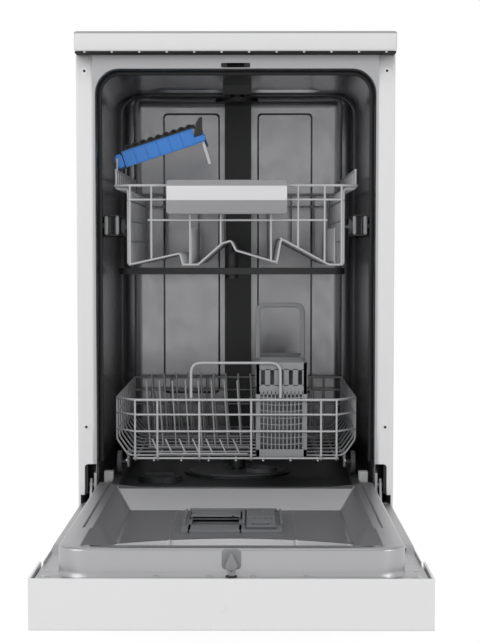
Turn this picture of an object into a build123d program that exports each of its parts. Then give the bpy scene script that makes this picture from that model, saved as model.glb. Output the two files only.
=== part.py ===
from build123d import *
import os

# Freestanding slimline dishwasher, 45 cm wide, standing on four feet with its door open.
# Millimetres. X is to the right, Y runs from the open door to the back, Z is up.
# Every section measures Y from the cabinet's front plane; save() then moves the piece
# by FRONT_Y, so that the origin is under the middle of the whole object.

# Cabinet
WIDTH = 448.0
HEIGHT = 845.0
CABINET_DEPTH = 541.0
WORKTOP_THICK = 30.0
WORKTOP_OVERHANG = 30.0
WORKTOP_EDGE = 5.0
SHEET = 1.0
FLANGE_WIDTH = 23.5
HALF = WIDTH / 2
WORKTOP_Z = HEIGHT - WORKTOP_THICK
FLANGE_X = HALF - FLANGE_WIDTH

# The ledges that the lower basket rolls on set the height of the tub's floor and the door
LEDGE_Z = 211.3
FLANGE_FOOT_Z = LEDGE_Z - 16.3
SLOT_TOP_Z = LEDGE_Z + 27.7
SLOT_OUTER_X = HALF - 9.5

# Base
FOOT_RADIUS = 18.0
FOOT_PAD = 8.0
FOOT_STEM_RADIUS = 5.0
FOOT_INSET = 30.0
FOOT_FRONT_Y = 45.0
TRAY_Z = 18.0
TRAY_THICK = 3.0
TRAY_WALL_TOP = 90.0
KICK_Y = -25.0
KICK_TOP = 103.0
KICK_BOTTOM = 15.0
KICK_THICK = 2.0
POST_SIZE = 20.0

# Tub
TUB_SHEET = 1.0
TUB_HALF = HALF - 26.5
TUB_TOP = WORKTOP_Z - 18.6
TUB_RADIUS = 34.0
TUB_BACK_Y = CABINET_DEPTH - 41.0
TUB_FLOOR_Z = LEDGE_Z - 15.3
TUB_FLOOR_THICK = 3.0
TUB_SILL_Y = 24.0
TUB_SILL_DEPTH = 10.0
TUB_SILL_TOP = LEDGE_Z - 8.3
FRAME_SHEET = 1.2
GASKET_Y = 29.0
GASKET_DEPTH = 10.0
GASKET_WIDTH = 9.0
GASKET_TOP_WIDTH = 7.0
LATCH_SLOT_WIDTH = 41.0
LATCH_SLOT_Z = WORKTOP_Z - 17.4
LATCH_SLOT_HIGH = 6.6

# Door, drawn open: its inner side faces up
PIVOT_Y = 22.0
PIVOT_Z = LEDGE_Z - 4.3
PIN_RADIUS = 4.0
PIN_CLEARANCE = 0.08
DOOR_REACH = WORKTOP_Z - PIVOT_Z - 27.0
DOOR_WIDTH = WIDTH - 9.0
DOOR_SHEET = 1.2
DOOR_FLANGE_Z = LEDGE_Z - 27.3
DOOR_OUTER_Z = DOOR_FLANGE_Z - 59.5
DOOR_HEEL_Y = -5.0
SKIN_TAIL_Y = 95.0
SKIN_TAIL_TOP = DOOR_OUTER_Z + 20.5
SKIN_TAIL_FRONT_Y = 25.0
LINER_HALF = TUB_HALF - 2.5
LINER_FRONT_Y = 16.0 - DOOR_REACH
LINER_TOP = LEDGE_Z + 2.5
LINER_RADIUS = TUB_RADIUS
LINER_FLOOR = LEDGE_Z - 30.3
LINER_LAND = 22.0
LINER_STEP_Y = LINER_FRONT_Y + 166.0
LINER_HEEL_Z = LEDGE_Z - 4.8
LINER_HEEL_DEPTH = 10.0
LEDGE_OUTER = LINER_HALF - 14.2
LEDGE_INNER = LINER_HALF - 29.0
LINER_WIDENING = 7.3
RECESS_FLOOR_HALF = LINER_HALF - 47.0
RECESS_FRONT_Y = LINER_FRONT_Y + 95.0
RECESS_BACK_Y = -60.0
CONTROL_HEIGHT = 108.0
CONTROL_WALL = 2.5
HANDLE_HOLLOW_WIDTH = 150.0
HANDLE_HOLLOW_DEPTH = 24.0
HANDLE_HOLLOW_HIGH = 34.0
HANDLE_HOLLOW_INSET = 14.0
BUTTON_RADIUS = 6.0
BUTTON_GAP = 0.3
BUTTON_PROUD = 1.6
BUTTON_LENGTH = 12.0
BUTTON_X = HALF - 34.0
BUTTON_Y = 54.0 - DOOR_REACH
DISPLAY_WIDTH = 70.0
DISPLAY_HIGH = 26.0
DISPLAY_THICK = 1.5
DISPLAY_X = BUTTON_X - 65.0

# Dispenser in the door
DISPENSER_LEFT = -68.0
DISPENSER_RIGHT = 62.0
DISPENSER_FRONT_Y = -254.0
DISPENSER_BACK_Y = -84.0
DISPENSER_PLATE = 4.0
DISPENSER_RIB = 8.0
DISPENSER_RIB_THICK = 3.0
DISPENSER_DEEP = 30.0
DISPENSER_RIM = 8.0
CUP_LEFT = -56.0
CUP_RIGHT = 6.0
CUP_FRONT_Y = -210.0
CUP_LENGTH = 47.0
CUP_DEEP = 22.0
LID_GAP = 0.4
LID_THICK = 3.2
LID_TRAVEL = 50.0
LID_EDGE = 2.0
LID_STOP = 13.0
RINSE_LEFT = 16.0
RINSE_RIGHT = 54.0
RINSE_LENGTH = 46.0
RINSE_HINGE_Y = -165.0

# Lower basket and its wheels
WIRE = 3.0
WHEEL_RADIUS = 17.0
WHEEL_WIDTH = 7.0
WHEEL_X = TUB_HALF - 24.5
WHEEL_CLEARANCE = 0.3
WHEEL_FRONT_Y = 115.0
WHEEL_REAR_Y = TUB_BACK_Y - 90.0
AXLE_RADIUS = 3.0
LOWER_FRONT_Y = 24.0
LOWER_BACK_Y = TUB_BACK_Y - 22.0
LOWER_FLOOR_Z = LEDGE_Z + 32.7
LOWER_SIDE_X = TUB_HALF - 24.0
LOWER_FLOOR_HALF = LOWER_SIDE_X - 16.5
LOWER_SIDE_FOOT = LOWER_FLOOR_Z + 27.0
LOWER_FRONT_HALF = LOWER_SIDE_X - 29.0
LOWER_CORNER_Y = 67.0
LOWER_WIRES_Z = [LOWER_FLOOR_Z + high for high in (41.8, 65.3, 84.8)]
LOWER_CROSS_WIRES = 11
LOWER_LONG_WIRES = 9
LOWER_SIDE_UPRIGHTS = 10
LOWER_REAR_UPRIGHTS = 6
LOWER_FRONT_UPRIGHTS = (-LOWER_FRONT_HALF, -112.5, -52.4, 22.0, 122.3, LOWER_FRONT_HALF)
HANGER_X = LOWER_FLOOR_HALF + 1.6
HANGER_THICK = 3.0
HANGER_HALF = 12.0
HANGER_GAP = 0.2
HANGER_FOOT = 7.0
TINE_PITCH = 19.6
# Each row of tines: its place, height, lean, and where it starts and ends across the basket
LOWER_TINE_ROWS = ((60.0, 26.0, 10.0, -112.0, 14.0), (150.0, 105.0, 6.0, -130.0, 16.0),
                   (300.0, 105.0, 6.0, -130.0, 138.0), (400.0, 60.0, 6.0, -130.0, 138.0))
LOWER_HANDLE_HALF = 64.0
LOWER_HANDLE_Z = LOWER_FLOOR_Z + 137.5
CUTLERY_LEFT = 28.6
CUTLERY_RIGHT = 102.5
CUTLERY_TOP = LOWER_FLOOR_Z + 138.0
CUTLERY_LENGTH = 238.0
CUTLERY_WALL = 2.5
CUTLERY_BASE = 11.0
CUTLERY_GAP = 0.3
CUTLERY_SLOTS = 5
CUTLERY_SLOT_PITCH = 13.3
CUTLERY_SLOT_WIDTH = 5.7
CUTLERY_SLOT_HIGH = 21.0
CUTLERY_SLOT_Z = CUTLERY_TOP - 32.0
CUTLERY_GRIP_TOP = CUTLERY_TOP + 82.0
CUTLERY_GRIP_RADIUS = 12.0
CUTLERY_GRIP_BAR = 8.0

# Upper basket, its rails and rollers
UPPER_FRONT_Y = 15.0
UPPER_BACK_Y = TUB_BACK_Y - 38.0
UPPER_FLOOR_Z = 522.0
UPPER_HALF = TUB_HALF - 43.5
UPPER_TOP_HALF = UPPER_HALF + 16.7
UPPER_FRONT_HALF = UPPER_HALF - 4.0
UPPER_FLOOR_END = UPPER_HALF - 3.5
UPPER_SHOULDER_Z = UPPER_FLOOR_Z + 100.0
UPPER_RIM_Z = UPPER_FLOOR_Z + 134.0
UPPER_WIRES_Z = [UPPER_FLOOR_Z + high for high in (63.0, 92.0, 112.0)]
UPPER_SIDE_LOW = 33.0
# The basket's floor, as seen from the front: each bend's place and its height over the floor
UPPER_FLOOR_LINE = ((-UPPER_FLOOR_END, 0), (-79.0, 16.0), (-75.0, 0), (-53.6, 0), (-19.5, 30.0),
                    (-6.7, 34.0), (0.4, 20.0), (58.6, 3.0), (64.3, 37.0), (132.5, 0),
                    (UPPER_FLOOR_END, 0))
UPPER_LONG_LINES = ((-UPPER_FLOOR_END, 0), (-75.0, 0), (-53.6, 0), (58.6, 3.0), (132.5, 0),
                    (UPPER_FLOOR_END, 0))
UPPER_TINE_LINES = (-64.0, 142.0)
UPPER_CROSS_WIRES = 10
UPPER_SIDE_START = 50.0
UPPER_SIDE_UPRIGHTS = 8
UPPER_LOW_WIRE = (-125.0, 130.0)
UPPER_FRONT_UPRIGHTS = ((-UPPER_FRONT_HALF, 0), (-119.6, 7.0), (-64.9, 0), (-21.3, 28.5),
                        (50.1, 5.5), (88.4, 24.0), (126.1, 3.5), (UPPER_FRONT_HALF, 0))
UPPER_TINES = 9
UPPER_TINE_HIGH = 50.0
GRIP_LEFT = -98.0
GRIP_RIGHT = 73.0
GRIP_LOW = UPPER_FLOOR_Z + 71.4
GRIP_TOP = UPPER_FLOOR_Z + 119.5
GRIP_DEPTH = 12.0
GRIP_CORNER = 4.0
SHELF_PIVOT_Z = UPPER_RIM_Z + 16.0
SHELF_FRONT_Y = 56.0
SHELF_BACK_Y = 236.0
SHELF_GAP = 0.4
SHELF_PIN = 2.0
SHELF_KNUCKLE = 5.0
SHELF_WIDTH = 130.0
SHELF_PLATE = 3.0
SHELF_BAR_THICK = 4.0
SHELF_BAR_HIGH = 20.0
SHELF_END_HIGH = 19.0
SHELF_TEETH = 7
SHELF_TOOTH_PITCH = 17.5
SHELF_TOOTH_WIDTH = 5.0
SHELF_TOOTH_HIGH = 7.0
SHELF_TILT = 18.0
RAIL_Z = UPPER_FLOOR_Z + 56.0
RAIL_X = TUB_HALF - 18.0
RAIL_SHEET = 1.5
RAIL_REACH = 7.0
RAIL_START_Y = 42.0
RAIL_BACK_Y = TUB_BACK_Y - 13.0
ROLLER_RADIUS = 13.0
ROLLER_WIDTH = 6.0
ROLLER_CLEARANCE = 0.3
ROLLER_SIDE_GAP = 1.0
TUB_ROLLER_Y = (60.0, 130.0)
BASKET_ROLLER_Y = (240.0, TUB_BACK_Y - 70.0)
BRACKET_FACE_X = UPPER_HALF + 4.0
BRACKET_HALF_LENGTH = 15.0
BRACKET_HALF_HIGH = 18.0

# Spray arms and water ways
SPRAY_X = -8.0
SPRAY_Y = 250.0
SPRAY_THICK = 10.0
SPRAY_WIDTH = 34.0
SPRAY_CLEARANCE = 0.3
SPRAY_HUB = 5.0
SPRAY_HUB_CAP = 3.0
UPPER_SPRAY_HALF = TUB_HALF - 22.5
UPPER_SPRAY_Z = UPPER_FLOOR_Z - 17.0
LOWER_SPRAY_HALF = TUB_HALF - 47.5
LOWER_SPRAY_Z = LEDGE_Z + 11.7
LOWER_SPRAY_LIFT = 10.0
FEED_RADIUS = 8.0
FEED_Z = UPPER_FLOOR_Z + 10.0
FEED_FOOT_Z = UPPER_FLOOR_Z - 4.0
FEED_POST_RADIUS = 6.0
FEED_DOCK_GAP = 0.5
FEED_NUT = 4.0
FEED_NUT_DROP = 6.0
FEED_CLIP_WIRES = (5, 8)
FEED_CLIP_TOP = UPPER_FLOOR_Z + 30.2
FEED_CLIP_WIDTH = 5.0
FEED_CLIP_LENGTH = 8.0
DUCT_HALF = 22.0
DUCT_DEPTH = 20.0
CEILING_DUCT_HIGH = 14.0
NOZZLE_Y = 270.0
NOZZLE_RADIUS = 33.0
NOZZLE_THICK = 6.0
SOCKET_LENGTH = 8.0
SOCKET_WALL = 4.0

# On the tub's floor and under it
LATCH_DEPTH = 34.0
LATCH_WALL = 8.0
LATCH_POCKET_ROOM = 4.0
LATCH_GAP = 0.4
TRACK_INNER = WHEEL_X - 6.0
TRACK_OUTER = WHEEL_X + 5.0
TRACK_NOSE_Y = 3.0
END_BLOCK_GAP = 3.0
END_BLOCK_LENGTH = 20.0
END_BLOCK_WIDTH = 12.5
END_BLOCK_TOP = LEDGE_Z + 11.7
END_BLOCK_EDGE = 1.5
SUMP_RADIUS = 75.0
SUMP_FLANGE_RADIUS = 82.0
SUMP_WALL = 3.0
SUMP_RIM = 3.0
SUMP_FOOT_Z = TUB_FLOOR_Z - 66.0
SUMP_GAP = 0.2
SPRAY_POST_RADIUS = 8.0
SPRAY_POST_DROP = 4.0
FILTER_X = 38.0
FILTER_SIDE = 25.0
FILTER_RADIUS = 24.0
FILTER_WALL = 2.0
FILTER_RISE = 8.0
SALT_X = 109.0 - HALF
SALT_Y = 150.0
SALT_NECK_RADIUS = 28.0
SALT_HEAD = 5.0
SALT_HEAD_HIGH = 8.0
SALT_GRIP_HALF = 22.0
SALT_GRIP_THICK = 6.0
SALT_GRIP_HIGH = 5.0
SOFTENER_HALF = 50.0
PUMP_Z = SUMP_FOOT_Z + 25.0
PUMP_NECK = 14.0
PUMP_NECK_LENGTH = 25.0
PUMP_RADIUS = 32.0
PUMP_LENGTH = 70.0
DRAIN_DROP = 5.0
DRAIN_NECK = 11.0
DRAIN_NECK_LENGTH = 15.0
DRAIN_RADIUS = 24.0
DRAIN_LENGTH = 55.0
INLET_X = HALF - 74.0
INLET_Z = 60.0
INLET_HALF = 20.0
INLET_LENGTH = 45.0
INLET_FOOT_HALF = 15.0
GLAND_X = 74.0 - HALF
GLAND_Z = 135.0
GLAND_SIZE = 18.0
GLAND_BORE = 4.0
GLAND_ROOM = 0.2

# Hinges, screws and the latch's tongue
BRACKET_THICK = 4.0
BRACKET_FRONT_Y = 12.0
BRACKET_REACH = 90.0
BRACKET_LOW = TUB_FLOOR_Z - TUB_FLOOR_THICK
BRACKET_TOP = BRACKET_LOW + 67.0
BRACKET_NECK = BRACKET_LOW + 32.0
BRACKET_SLOPE_Y = 40.0
ARM_X = HALF - 19.0
ARM_THICK = 3.0
ARM_FOOT_Z = DOOR_OUTER_Z + 17.5
# The arm's side outline: each corner's place along Y and its height over the pin
ARM_LINE = ((-110, -65), (-110, -35), (-14, -29), (-4, -26), (6, -2), (12, 10), (32, 10),
            (36, 0), (30, -15), (16, -35), (-8, -65))
ARM_FOOT_Y = (-110.0, -70.0)
PIN_END = 2.0
COVER_LOW = BRACKET_LOW + 4.0
COVER_HIGH = COVER_LOW + 40.0
COVER_BACK_Y = 48.0
COVER_THICK = 3.0
COVER_GAP = 0.4
COVER_FACE_Y = SHEET + 0.5
SCREW_RADIUS = 3.0
SCREW_PROUD = 0.6
CABINET_SCREW_X = HALF - 12.0
CABINET_SCREWS_Z = (292.0, WORKTOP_Z - 22.0)
DOOR_SCREWS_Y = (41.0 - DOOR_REACH, 201.0 - DOOR_REACH, -90.0)
EDGE_SCREWS_X = (24.0, 83.0, HALF - 16.0)
EDGE_SCREW_Y = 7.0 - DOOR_REACH
TONGUE_HALF = 8.0
TONGUE_THICK = 3.0
TONGUE_GAP = 5.5
TONGUE_HIGH = 20.0
TONGUE_SHOULDER = 8.0
TONGUE_TIP = 2.0

# The whole object is as long as the open door and the cabinet together.
FRONT_Y = (DOOR_REACH - CABINET_DEPTH) / 2


def block(x0, x1, y0, y1, z0, z1):
    """A box between two corners."""
    middle = Pos((x0 + x1) / 2, (y0 + y1) / 2, (z0 + z1) / 2)
    return middle * Box(abs(x1 - x0), abs(y1 - y0), abs(z1 - z0))


def rod(start, end, radius):
    """A round bar from one point to another."""
    run = Vector(*end) - Vector(*start)
    low = (Align.CENTER, Align.CENTER, Align.MIN)
    return Plane(origin=start, z_dir=run) * Cylinder(radius, run.length, align=low)


def wire(start, end, lead=WIRE / 2):
    """A straight basket wire of square section, running past its ends by lead."""
    run = Vector(*end) - Vector(*start)
    side = (1, 0, 0) if abs(run.X) < abs(run.length) / 1000 else (0, 1, 0)
    low = (Align.CENTER, Align.CENTER, Align.MIN)
    stick = Pos(0, 0, -lead) * Box(WIRE, WIRE, run.length + 2 * lead, align=low)
    return Plane(origin=start, x_dir=side, z_dir=run) * stick


def bent_wire(points):
    """Straight wires end to end through the points."""
    return [wire(a, b) for a, b in zip(points, points[1:])]


def fused(pieces):
    """The pieces as one solid."""
    return pieces[0].fuse(*pieces[1:])


def outline(points, plane, thick):
    """A flat plate from a closed outline in the plane, thick along its normal."""
    return extrude(plane * make_face(Polyline(*points, close=True)), thick)


def side_plate(points, x0, x1):
    """A plate whose outline is given in Y and Z, between two places in X."""
    return outline(points, Plane.YZ.offset(x0), x1 - x0)


def mirrored(piece):
    """The same piece on the other side of the machine."""
    return mirror(piece, about=Plane.YZ)


def even(first, last, count):
    """Evenly spaced places from first to last."""
    return [first + (last - first) * i / (count - 1) for i in range(count)]


def save(node, *pieces):
    """Write one node, moved from the cabinet's front plane to the object's own frame."""
    solids = [Pos(0, FRONT_Y, 0) * s for piece in pieces for s in piece.solids()]
    export_step(Compound(children=solids), f"parts/{node}.step")


def worktop():
    top = block(-HALF, HALF, -WORKTOP_OVERHANG, CABINET_DEPTH, WORKTOP_Z, HEIGHT)
    top = fillet(top.edges().filter_by(Axis.Z).group_by(Axis.Y)[0], WORKTOP_EDGE)
    top = chamfer(top.edges().group_by(Axis.Z)[-1].group_by(Axis.Y)[0], WORKTOP_EDGE / 2)
    save("worktop", top)


def side_panels():
    """A bent sheet each side: the wall and the narrow return beside the tub's mouth."""
    wall = block(HALF - SHEET, HALF, 0, CABINET_DEPTH - SHEET, TRAY_Z, WORKTOP_Z)
    upper = block(FLANGE_X, HALF, 0, SHEET, SLOT_TOP_Z, WORKTOP_Z)
    lower = block(SLOT_OUTER_X, HALF, 0, SHEET, FLANGE_FOOT_Z, SLOT_TOP_Z)
    right = fused([wall, upper, lower])
    save("side_panel_right", right)
    save("side_panel_left", mirrored(right))


def rear_panel():
    back = block(-HALF, HALF, CABINET_DEPTH - SHEET, CABINET_DEPTH, TRAY_WALL_TOP, WORKTOP_Z)
    save("rear_panel", back - gland_body(GLAND_SIZE + GLAND_ROOM))
    bore = rod((GLAND_X, 0, GLAND_Z), (GLAND_X, CABINET_DEPTH + 1, GLAND_Z), GLAND_BORE)
    save("cable_gland", gland_body(GLAND_SIZE) - bore)


def gland_body(size):
    """The square body that the mains cord would pass through, level with the back."""
    half = size / 2
    return block(GLAND_X - half, GLAND_X + half, CABINET_DEPTH - GLAND_SIZE, CABINET_DEPTH,
                 GLAND_Z - half, GLAND_Z + half)


def feet_places():
    x = HALF - FOOT_INSET
    return [(sx * x, y) for sx in (-1, 1) for y in (FOOT_FRONT_Y, CABINET_DEPTH - FOOT_FRONT_Y)]


def base():
    """A tray on four feet. Its walls carry the side panels and its posts carry the tub."""
    inner = HALF - SHEET
    back = CABINET_DEPTH - SHEET
    front = KICK_Y + KICK_THICK
    plate = block(-inner, inner, front, back, TRAY_Z, TRAY_Z + TRAY_THICK)
    pieces = [plate]
    for side in (-1, 1):
        rail = sorted((side * inner, side * (inner - TRAY_THICK)))
        pieces.append(block(*rail, front, back, TRAY_Z, TRAY_WALL_TOP))
        post = sorted((side * (TUB_HALF - POST_SIZE), side * TUB_HALF))
        for y in (SKIN_TAIL_Y + POST_SIZE, TUB_BACK_Y - POST_SIZE):
            top = TUB_FLOOR_Z - TUB_FLOOR_THICK
            pieces.append(block(*post, y, y + POST_SIZE, TRAY_Z, top))
    rear_wall = block(-inner, inner, back - TRAY_THICK, back, TRAY_Z, TRAY_WALL_TOP + POST_SIZE)
    pieces.append(rear_wall)
    save("base_tray", fused(pieces))
    kick = block(-inner, inner, KICK_Y, front, KICK_BOTTOM, KICK_TOP)
    save("kick_plate", kick)
    low = (Align.CENTER, Align.CENTER, Align.MIN)
    feet = []
    for x, y in feet_places():
        pad = Cylinder(FOOT_RADIUS, FOOT_PAD, align=low)
        stem = Cylinder(FOOT_STEM_RADIUS, TRAY_Z, align=low)
        feet.append(Pos(x, y, 0) * pad.fuse(stem))
    save("levelling_feet", *feet)


def arch(half, top, radius, y0, y1, foot):
    """A slab with the tub's front outline: square at the foot, round at the top corners."""
    slab = block(-half, half, y0, y1, foot, top)
    return fillet(slab.edges().filter_by(Axis.Y).group_by(Axis.Z)[-1], radius)


def tub():
    """The steel tub: one sheet for the sides and ceiling, a back wall and a plastic floor."""
    foot = TUB_FLOOR_Z - TUB_FLOOR_THICK
    outer_half = TUB_HALF + TUB_SHEET
    outer = arch(outer_half, TUB_TOP + TUB_SHEET, TUB_RADIUS + TUB_SHEET,
                 FRAME_SHEET, TUB_BACK_Y, foot)
    inner = arch(TUB_HALF, TUB_TOP, TUB_RADIUS, 0, TUB_BACK_Y + 1, foot - 1)
    save("tub_wrapper", outer - inner)
    back = arch(outer_half, TUB_TOP + TUB_SHEET, TUB_RADIUS + TUB_SHEET,
                TUB_BACK_Y, TUB_BACK_Y + TUB_SHEET, foot)
    save("tub_back", back)
    floor = block(-TUB_HALF, TUB_HALF, TUB_SILL_Y, TUB_BACK_Y, foot, TUB_FLOOR_Z)
    sill = block(-TUB_HALF, TUB_HALF, TUB_SILL_Y, TUB_SILL_Y + TUB_SILL_DEPTH, foot, TUB_SILL_TOP)
    mouth = Pos(0, SPRAY_Y, foot) * Cylinder(SUMP_RADIUS, 4 * TUB_FLOOR_THICK)
    salt = Pos(SALT_X, SALT_Y, foot) * Cylinder(SALT_NECK_RADIUS, 4 * TUB_FLOOR_THICK)
    save("tub_floor", fused([floor, sill]) - mouth - salt)


def front_frame():
    """The steel face round the tub's mouth, with the slot for the latch."""
    face = block(-FLANGE_X, FLANGE_X, 0, FRAME_SHEET, SLOT_TOP_Z, WORKTOP_Z)
    mouth = arch(TUB_HALF, TUB_TOP, TUB_RADIUS, -1, FRAME_SHEET + 1, SLOT_TOP_Z - 1)
    half = LATCH_SLOT_WIDTH / 2
    slot = block(-half, half, -1, FRAME_SHEET + 1, LATCH_SLOT_Z, LATCH_SLOT_Z + LATCH_SLOT_HIGH)
    slot = fillet(slot.edges().filter_by(Axis.Y), LATCH_SLOT_HIGH / 3)
    save("front_frame", face - mouth - slot)


def gasket():
    """The rubber seal inside the tub's mouth. The closed door's rim presses on its face."""
    back = GASKET_Y + GASKET_DEPTH
    outer = arch(TUB_HALF, TUB_TOP, TUB_RADIUS, GASKET_Y, back, TUB_SILL_TOP)
    hole = arch(TUB_HALF - GASKET_WIDTH, TUB_TOP - GASKET_TOP_WIDTH, TUB_RADIUS - GASKET_WIDTH,
                GASKET_Y - 1, back + 1, TUB_SILL_TOP - 1)
    save("tub_gasket", outer - hole)


def door_latch():
    """The latch behind the slot, hollow where the door's tongue goes in."""
    half = LATCH_SLOT_WIDTH / 2 + LATCH_WALL
    room = TONGUE_HALF + LATCH_POCKET_ROOM
    body = block(-half, half, FRAME_SHEET, LATCH_DEPTH, LATCH_SLOT_Z, WORKTOP_Z - LATCH_GAP)
    pocket = block(-room, room, 0, LATCH_DEPTH - LATCH_WALL,
                   LATCH_SLOT_Z - 1, LATCH_SLOT_Z + LATCH_SLOT_HIGH)
    save("door_latch", body - pocket)


def water_ways():
    """The duct up the tub's back and along its ceiling, and the spray nozzle at its end."""
    front = TUB_BACK_Y - DUCT_DEPTH
    ceiling_z = TUB_TOP - CEILING_DUCT_HIGH
    upright = block(-DUCT_HALF, DUCT_HALF, front, TUB_BACK_Y, TUB_FLOOR_Z, ceiling_z)
    ceiling = block(-DUCT_HALF, DUCT_HALF, NOZZLE_Y - 10, TUB_BACK_Y, ceiling_z, TUB_TOP)
    low = block(-DUCT_HALF, DUCT_HALF, SPRAY_Y + SUMP_FLANGE_RADIUS + 1, front,
                TUB_FLOOR_Z, TUB_FLOOR_Z + DUCT_DEPTH / 2)
    socket = rod((SPRAY_X, front - SOCKET_LENGTH, FEED_Z), (SPRAY_X, front, FEED_Z),
                 FEED_RADIUS + SOCKET_WALL)
    save("rear_duct", upright, ceiling, low, socket)
    disc_z = ceiling_z - NOZZLE_THICK
    stem = rod((0, NOZZLE_Y, disc_z), (0, NOZZLE_Y, ceiling_z), NOZZLE_RADIUS / 3)
    disc = rod((0, NOZZLE_Y, disc_z - NOZZLE_THICK), (0, NOZZLE_Y, disc_z), NOZZLE_RADIUS)
    save("top_sprinkler", stem.fuse(disc))


def lower_tracks():
    """Two ledges that the lower basket's wheels roll on, level with the ledges in the door."""
    sill_back = TUB_SILL_Y + TUB_SILL_DEPTH
    nose = block(TRACK_INNER, TRACK_OUTER, TRACK_NOSE_Y, sill_back, TUB_SILL_TOP, LEDGE_Z)
    bar = block(TRACK_INNER, TRACK_OUTER, sill_back, TUB_BACK_Y - 10, TUB_FLOOR_Z, LEDGE_Z)
    right = nose.fuse(bar)
    save("lower_tracks", right, mirrored(right))
    y0 = GASKET_Y + GASKET_DEPTH + END_BLOCK_GAP
    y1 = y0 + END_BLOCK_LENGTH
    end = block(TRACK_OUTER, TRACK_OUTER + END_BLOCK_WIDTH, y0, y1, TUB_FLOOR_Z, END_BLOCK_TOP)
    end = chamfer(end.edges().filter_by(Axis.X).group_by(Axis.Z)[-1], END_BLOCK_EDGE)
    save("track_end_blocks", end, mirrored(end))


def sump():
    """The bowl under the tub's floor, with the post that the lower spray arm stands on."""
    x, y = 0, SPRAY_Y
    rim_z = TUB_FLOOR_Z + SUMP_RIM
    bowl = rod((x, y, SUMP_FOOT_Z), (x, y, TUB_FLOOR_Z), SUMP_RADIUS - SUMP_GAP)
    flange = rod((x, y, TUB_FLOOR_Z), (x, y, rim_z), SUMP_FLANGE_RADIUS)
    hollow = rod((x, y, SUMP_FOOT_Z + SUMP_WALL), (x, y, rim_z + 1), SUMP_RADIUS - SUMP_WALL)
    post_top = LOWER_SPRAY_Z - SPRAY_POST_DROP
    post = rod((x, y, SUMP_FOOT_Z + SUMP_WALL), (x, y, post_top), SPRAY_POST_RADIUS)
    save("sump", bowl.fuse(flange) - hollow, post)


def sump_filter():
    """The round filter plate over the sump and the cup that hangs through it."""
    rim_z = TUB_FLOOR_Z + SUMP_RIM
    plate = rod((0, SPRAY_Y, rim_z), (0, SPRAY_Y, rim_z + FILTER_WALL), SUMP_RADIUS)
    hole = rod((0, SPRAY_Y, rim_z - 1), (0, SPRAY_Y, rim_z + SUMP_RIM), SPRAY_POST_RADIUS + 1)
    x, y = FILTER_X, SPRAY_Y - FILTER_SIDE
    foot = SUMP_FOOT_Z + FILTER_RISE
    top = rim_z + FILTER_RISE
    cup = rod((x, y, foot), (x, y, top), FILTER_RADIUS)
    core = rod((x, y, foot + FILTER_WALL), (x, y, top + 1), FILTER_RADIUS - FILTER_WALL)
    save("sump_filter", (plate - hole).fuse(cup) - core)


def softener():
    """The water softener's tank and the salt cap that stands out of the tub's floor."""
    x, y = SALT_X, SALT_Y
    neck_z = TUB_FLOOR_Z - TUB_FLOOR_THICK - SALT_HEAD_HIGH
    head_top = TUB_FLOOR_Z + SALT_HEAD_HIGH
    neck = rod((x, y, neck_z), (x, y, TUB_FLOOR_Z), SALT_NECK_RADIUS - SUMP_GAP)
    head = rod((x, y, TUB_FLOOR_Z), (x, y, head_top), SALT_NECK_RADIUS + SALT_HEAD)
    grip = block(x - SALT_GRIP_HALF, x + SALT_GRIP_HALF, y - SALT_GRIP_THICK / 2,
                 y + SALT_GRIP_THICK / 2, head_top, head_top + SALT_GRIP_HIGH)
    save("salt_cap", fused([neck, head, grip]))
    save("water_softener", block(x - SOFTENER_HALF, x + SOFTENER_HALF, y - SOFTENER_HALF,
                                 y + SOFTENER_HALF, TRAY_Z + TRAY_THICK, neck_z))


def pumps():
    """The circulation and drain pumps on the sump's wall, and the water inlet valve."""
    y = SPRAY_Y
    z = PUMP_Z
    wall = SUMP_RADIUS - SUMP_GAP
    keep = rod((0, y, SUMP_FOOT_Z - 1), (0, y, TUB_FLOOR_Z), wall)
    motor_x = wall + PUMP_NECK_LENGTH
    neck = rod((wall - 3, y, z), (motor_x, y, z), PUMP_NECK)
    motor = rod((motor_x, y, z), (motor_x + PUMP_LENGTH, y, z), PUMP_RADIUS)
    save("circulation_pump", neck.fuse(motor) - keep)
    z = PUMP_Z - DRAIN_DROP
    motor_y = y + wall + DRAIN_NECK_LENGTH
    neck = rod((0, y + wall - 3, z), (0, motor_y, z), DRAIN_NECK)
    motor = rod((0, motor_y, z), (0, motor_y + DRAIN_LENGTH, z), DRAIN_RADIUS)
    save("drain_pump", neck.fuse(motor) - keep)
    back = CABINET_DEPTH - SHEET - TRAY_THICK
    front = back - INLET_LENGTH
    low = INLET_Z - INLET_HALF
    body = block(INLET_X - INLET_HALF, INLET_X + INLET_HALF, front, back, low, INLET_Z + INLET_HALF)
    foot = block(INLET_X - INLET_FOOT_HALF, INLET_X + INLET_FOOT_HALF, front, back - 5,
                 TRAY_Z + TRAY_THICK, low)
    save("inlet_valve", body.fuse(foot))


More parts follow.
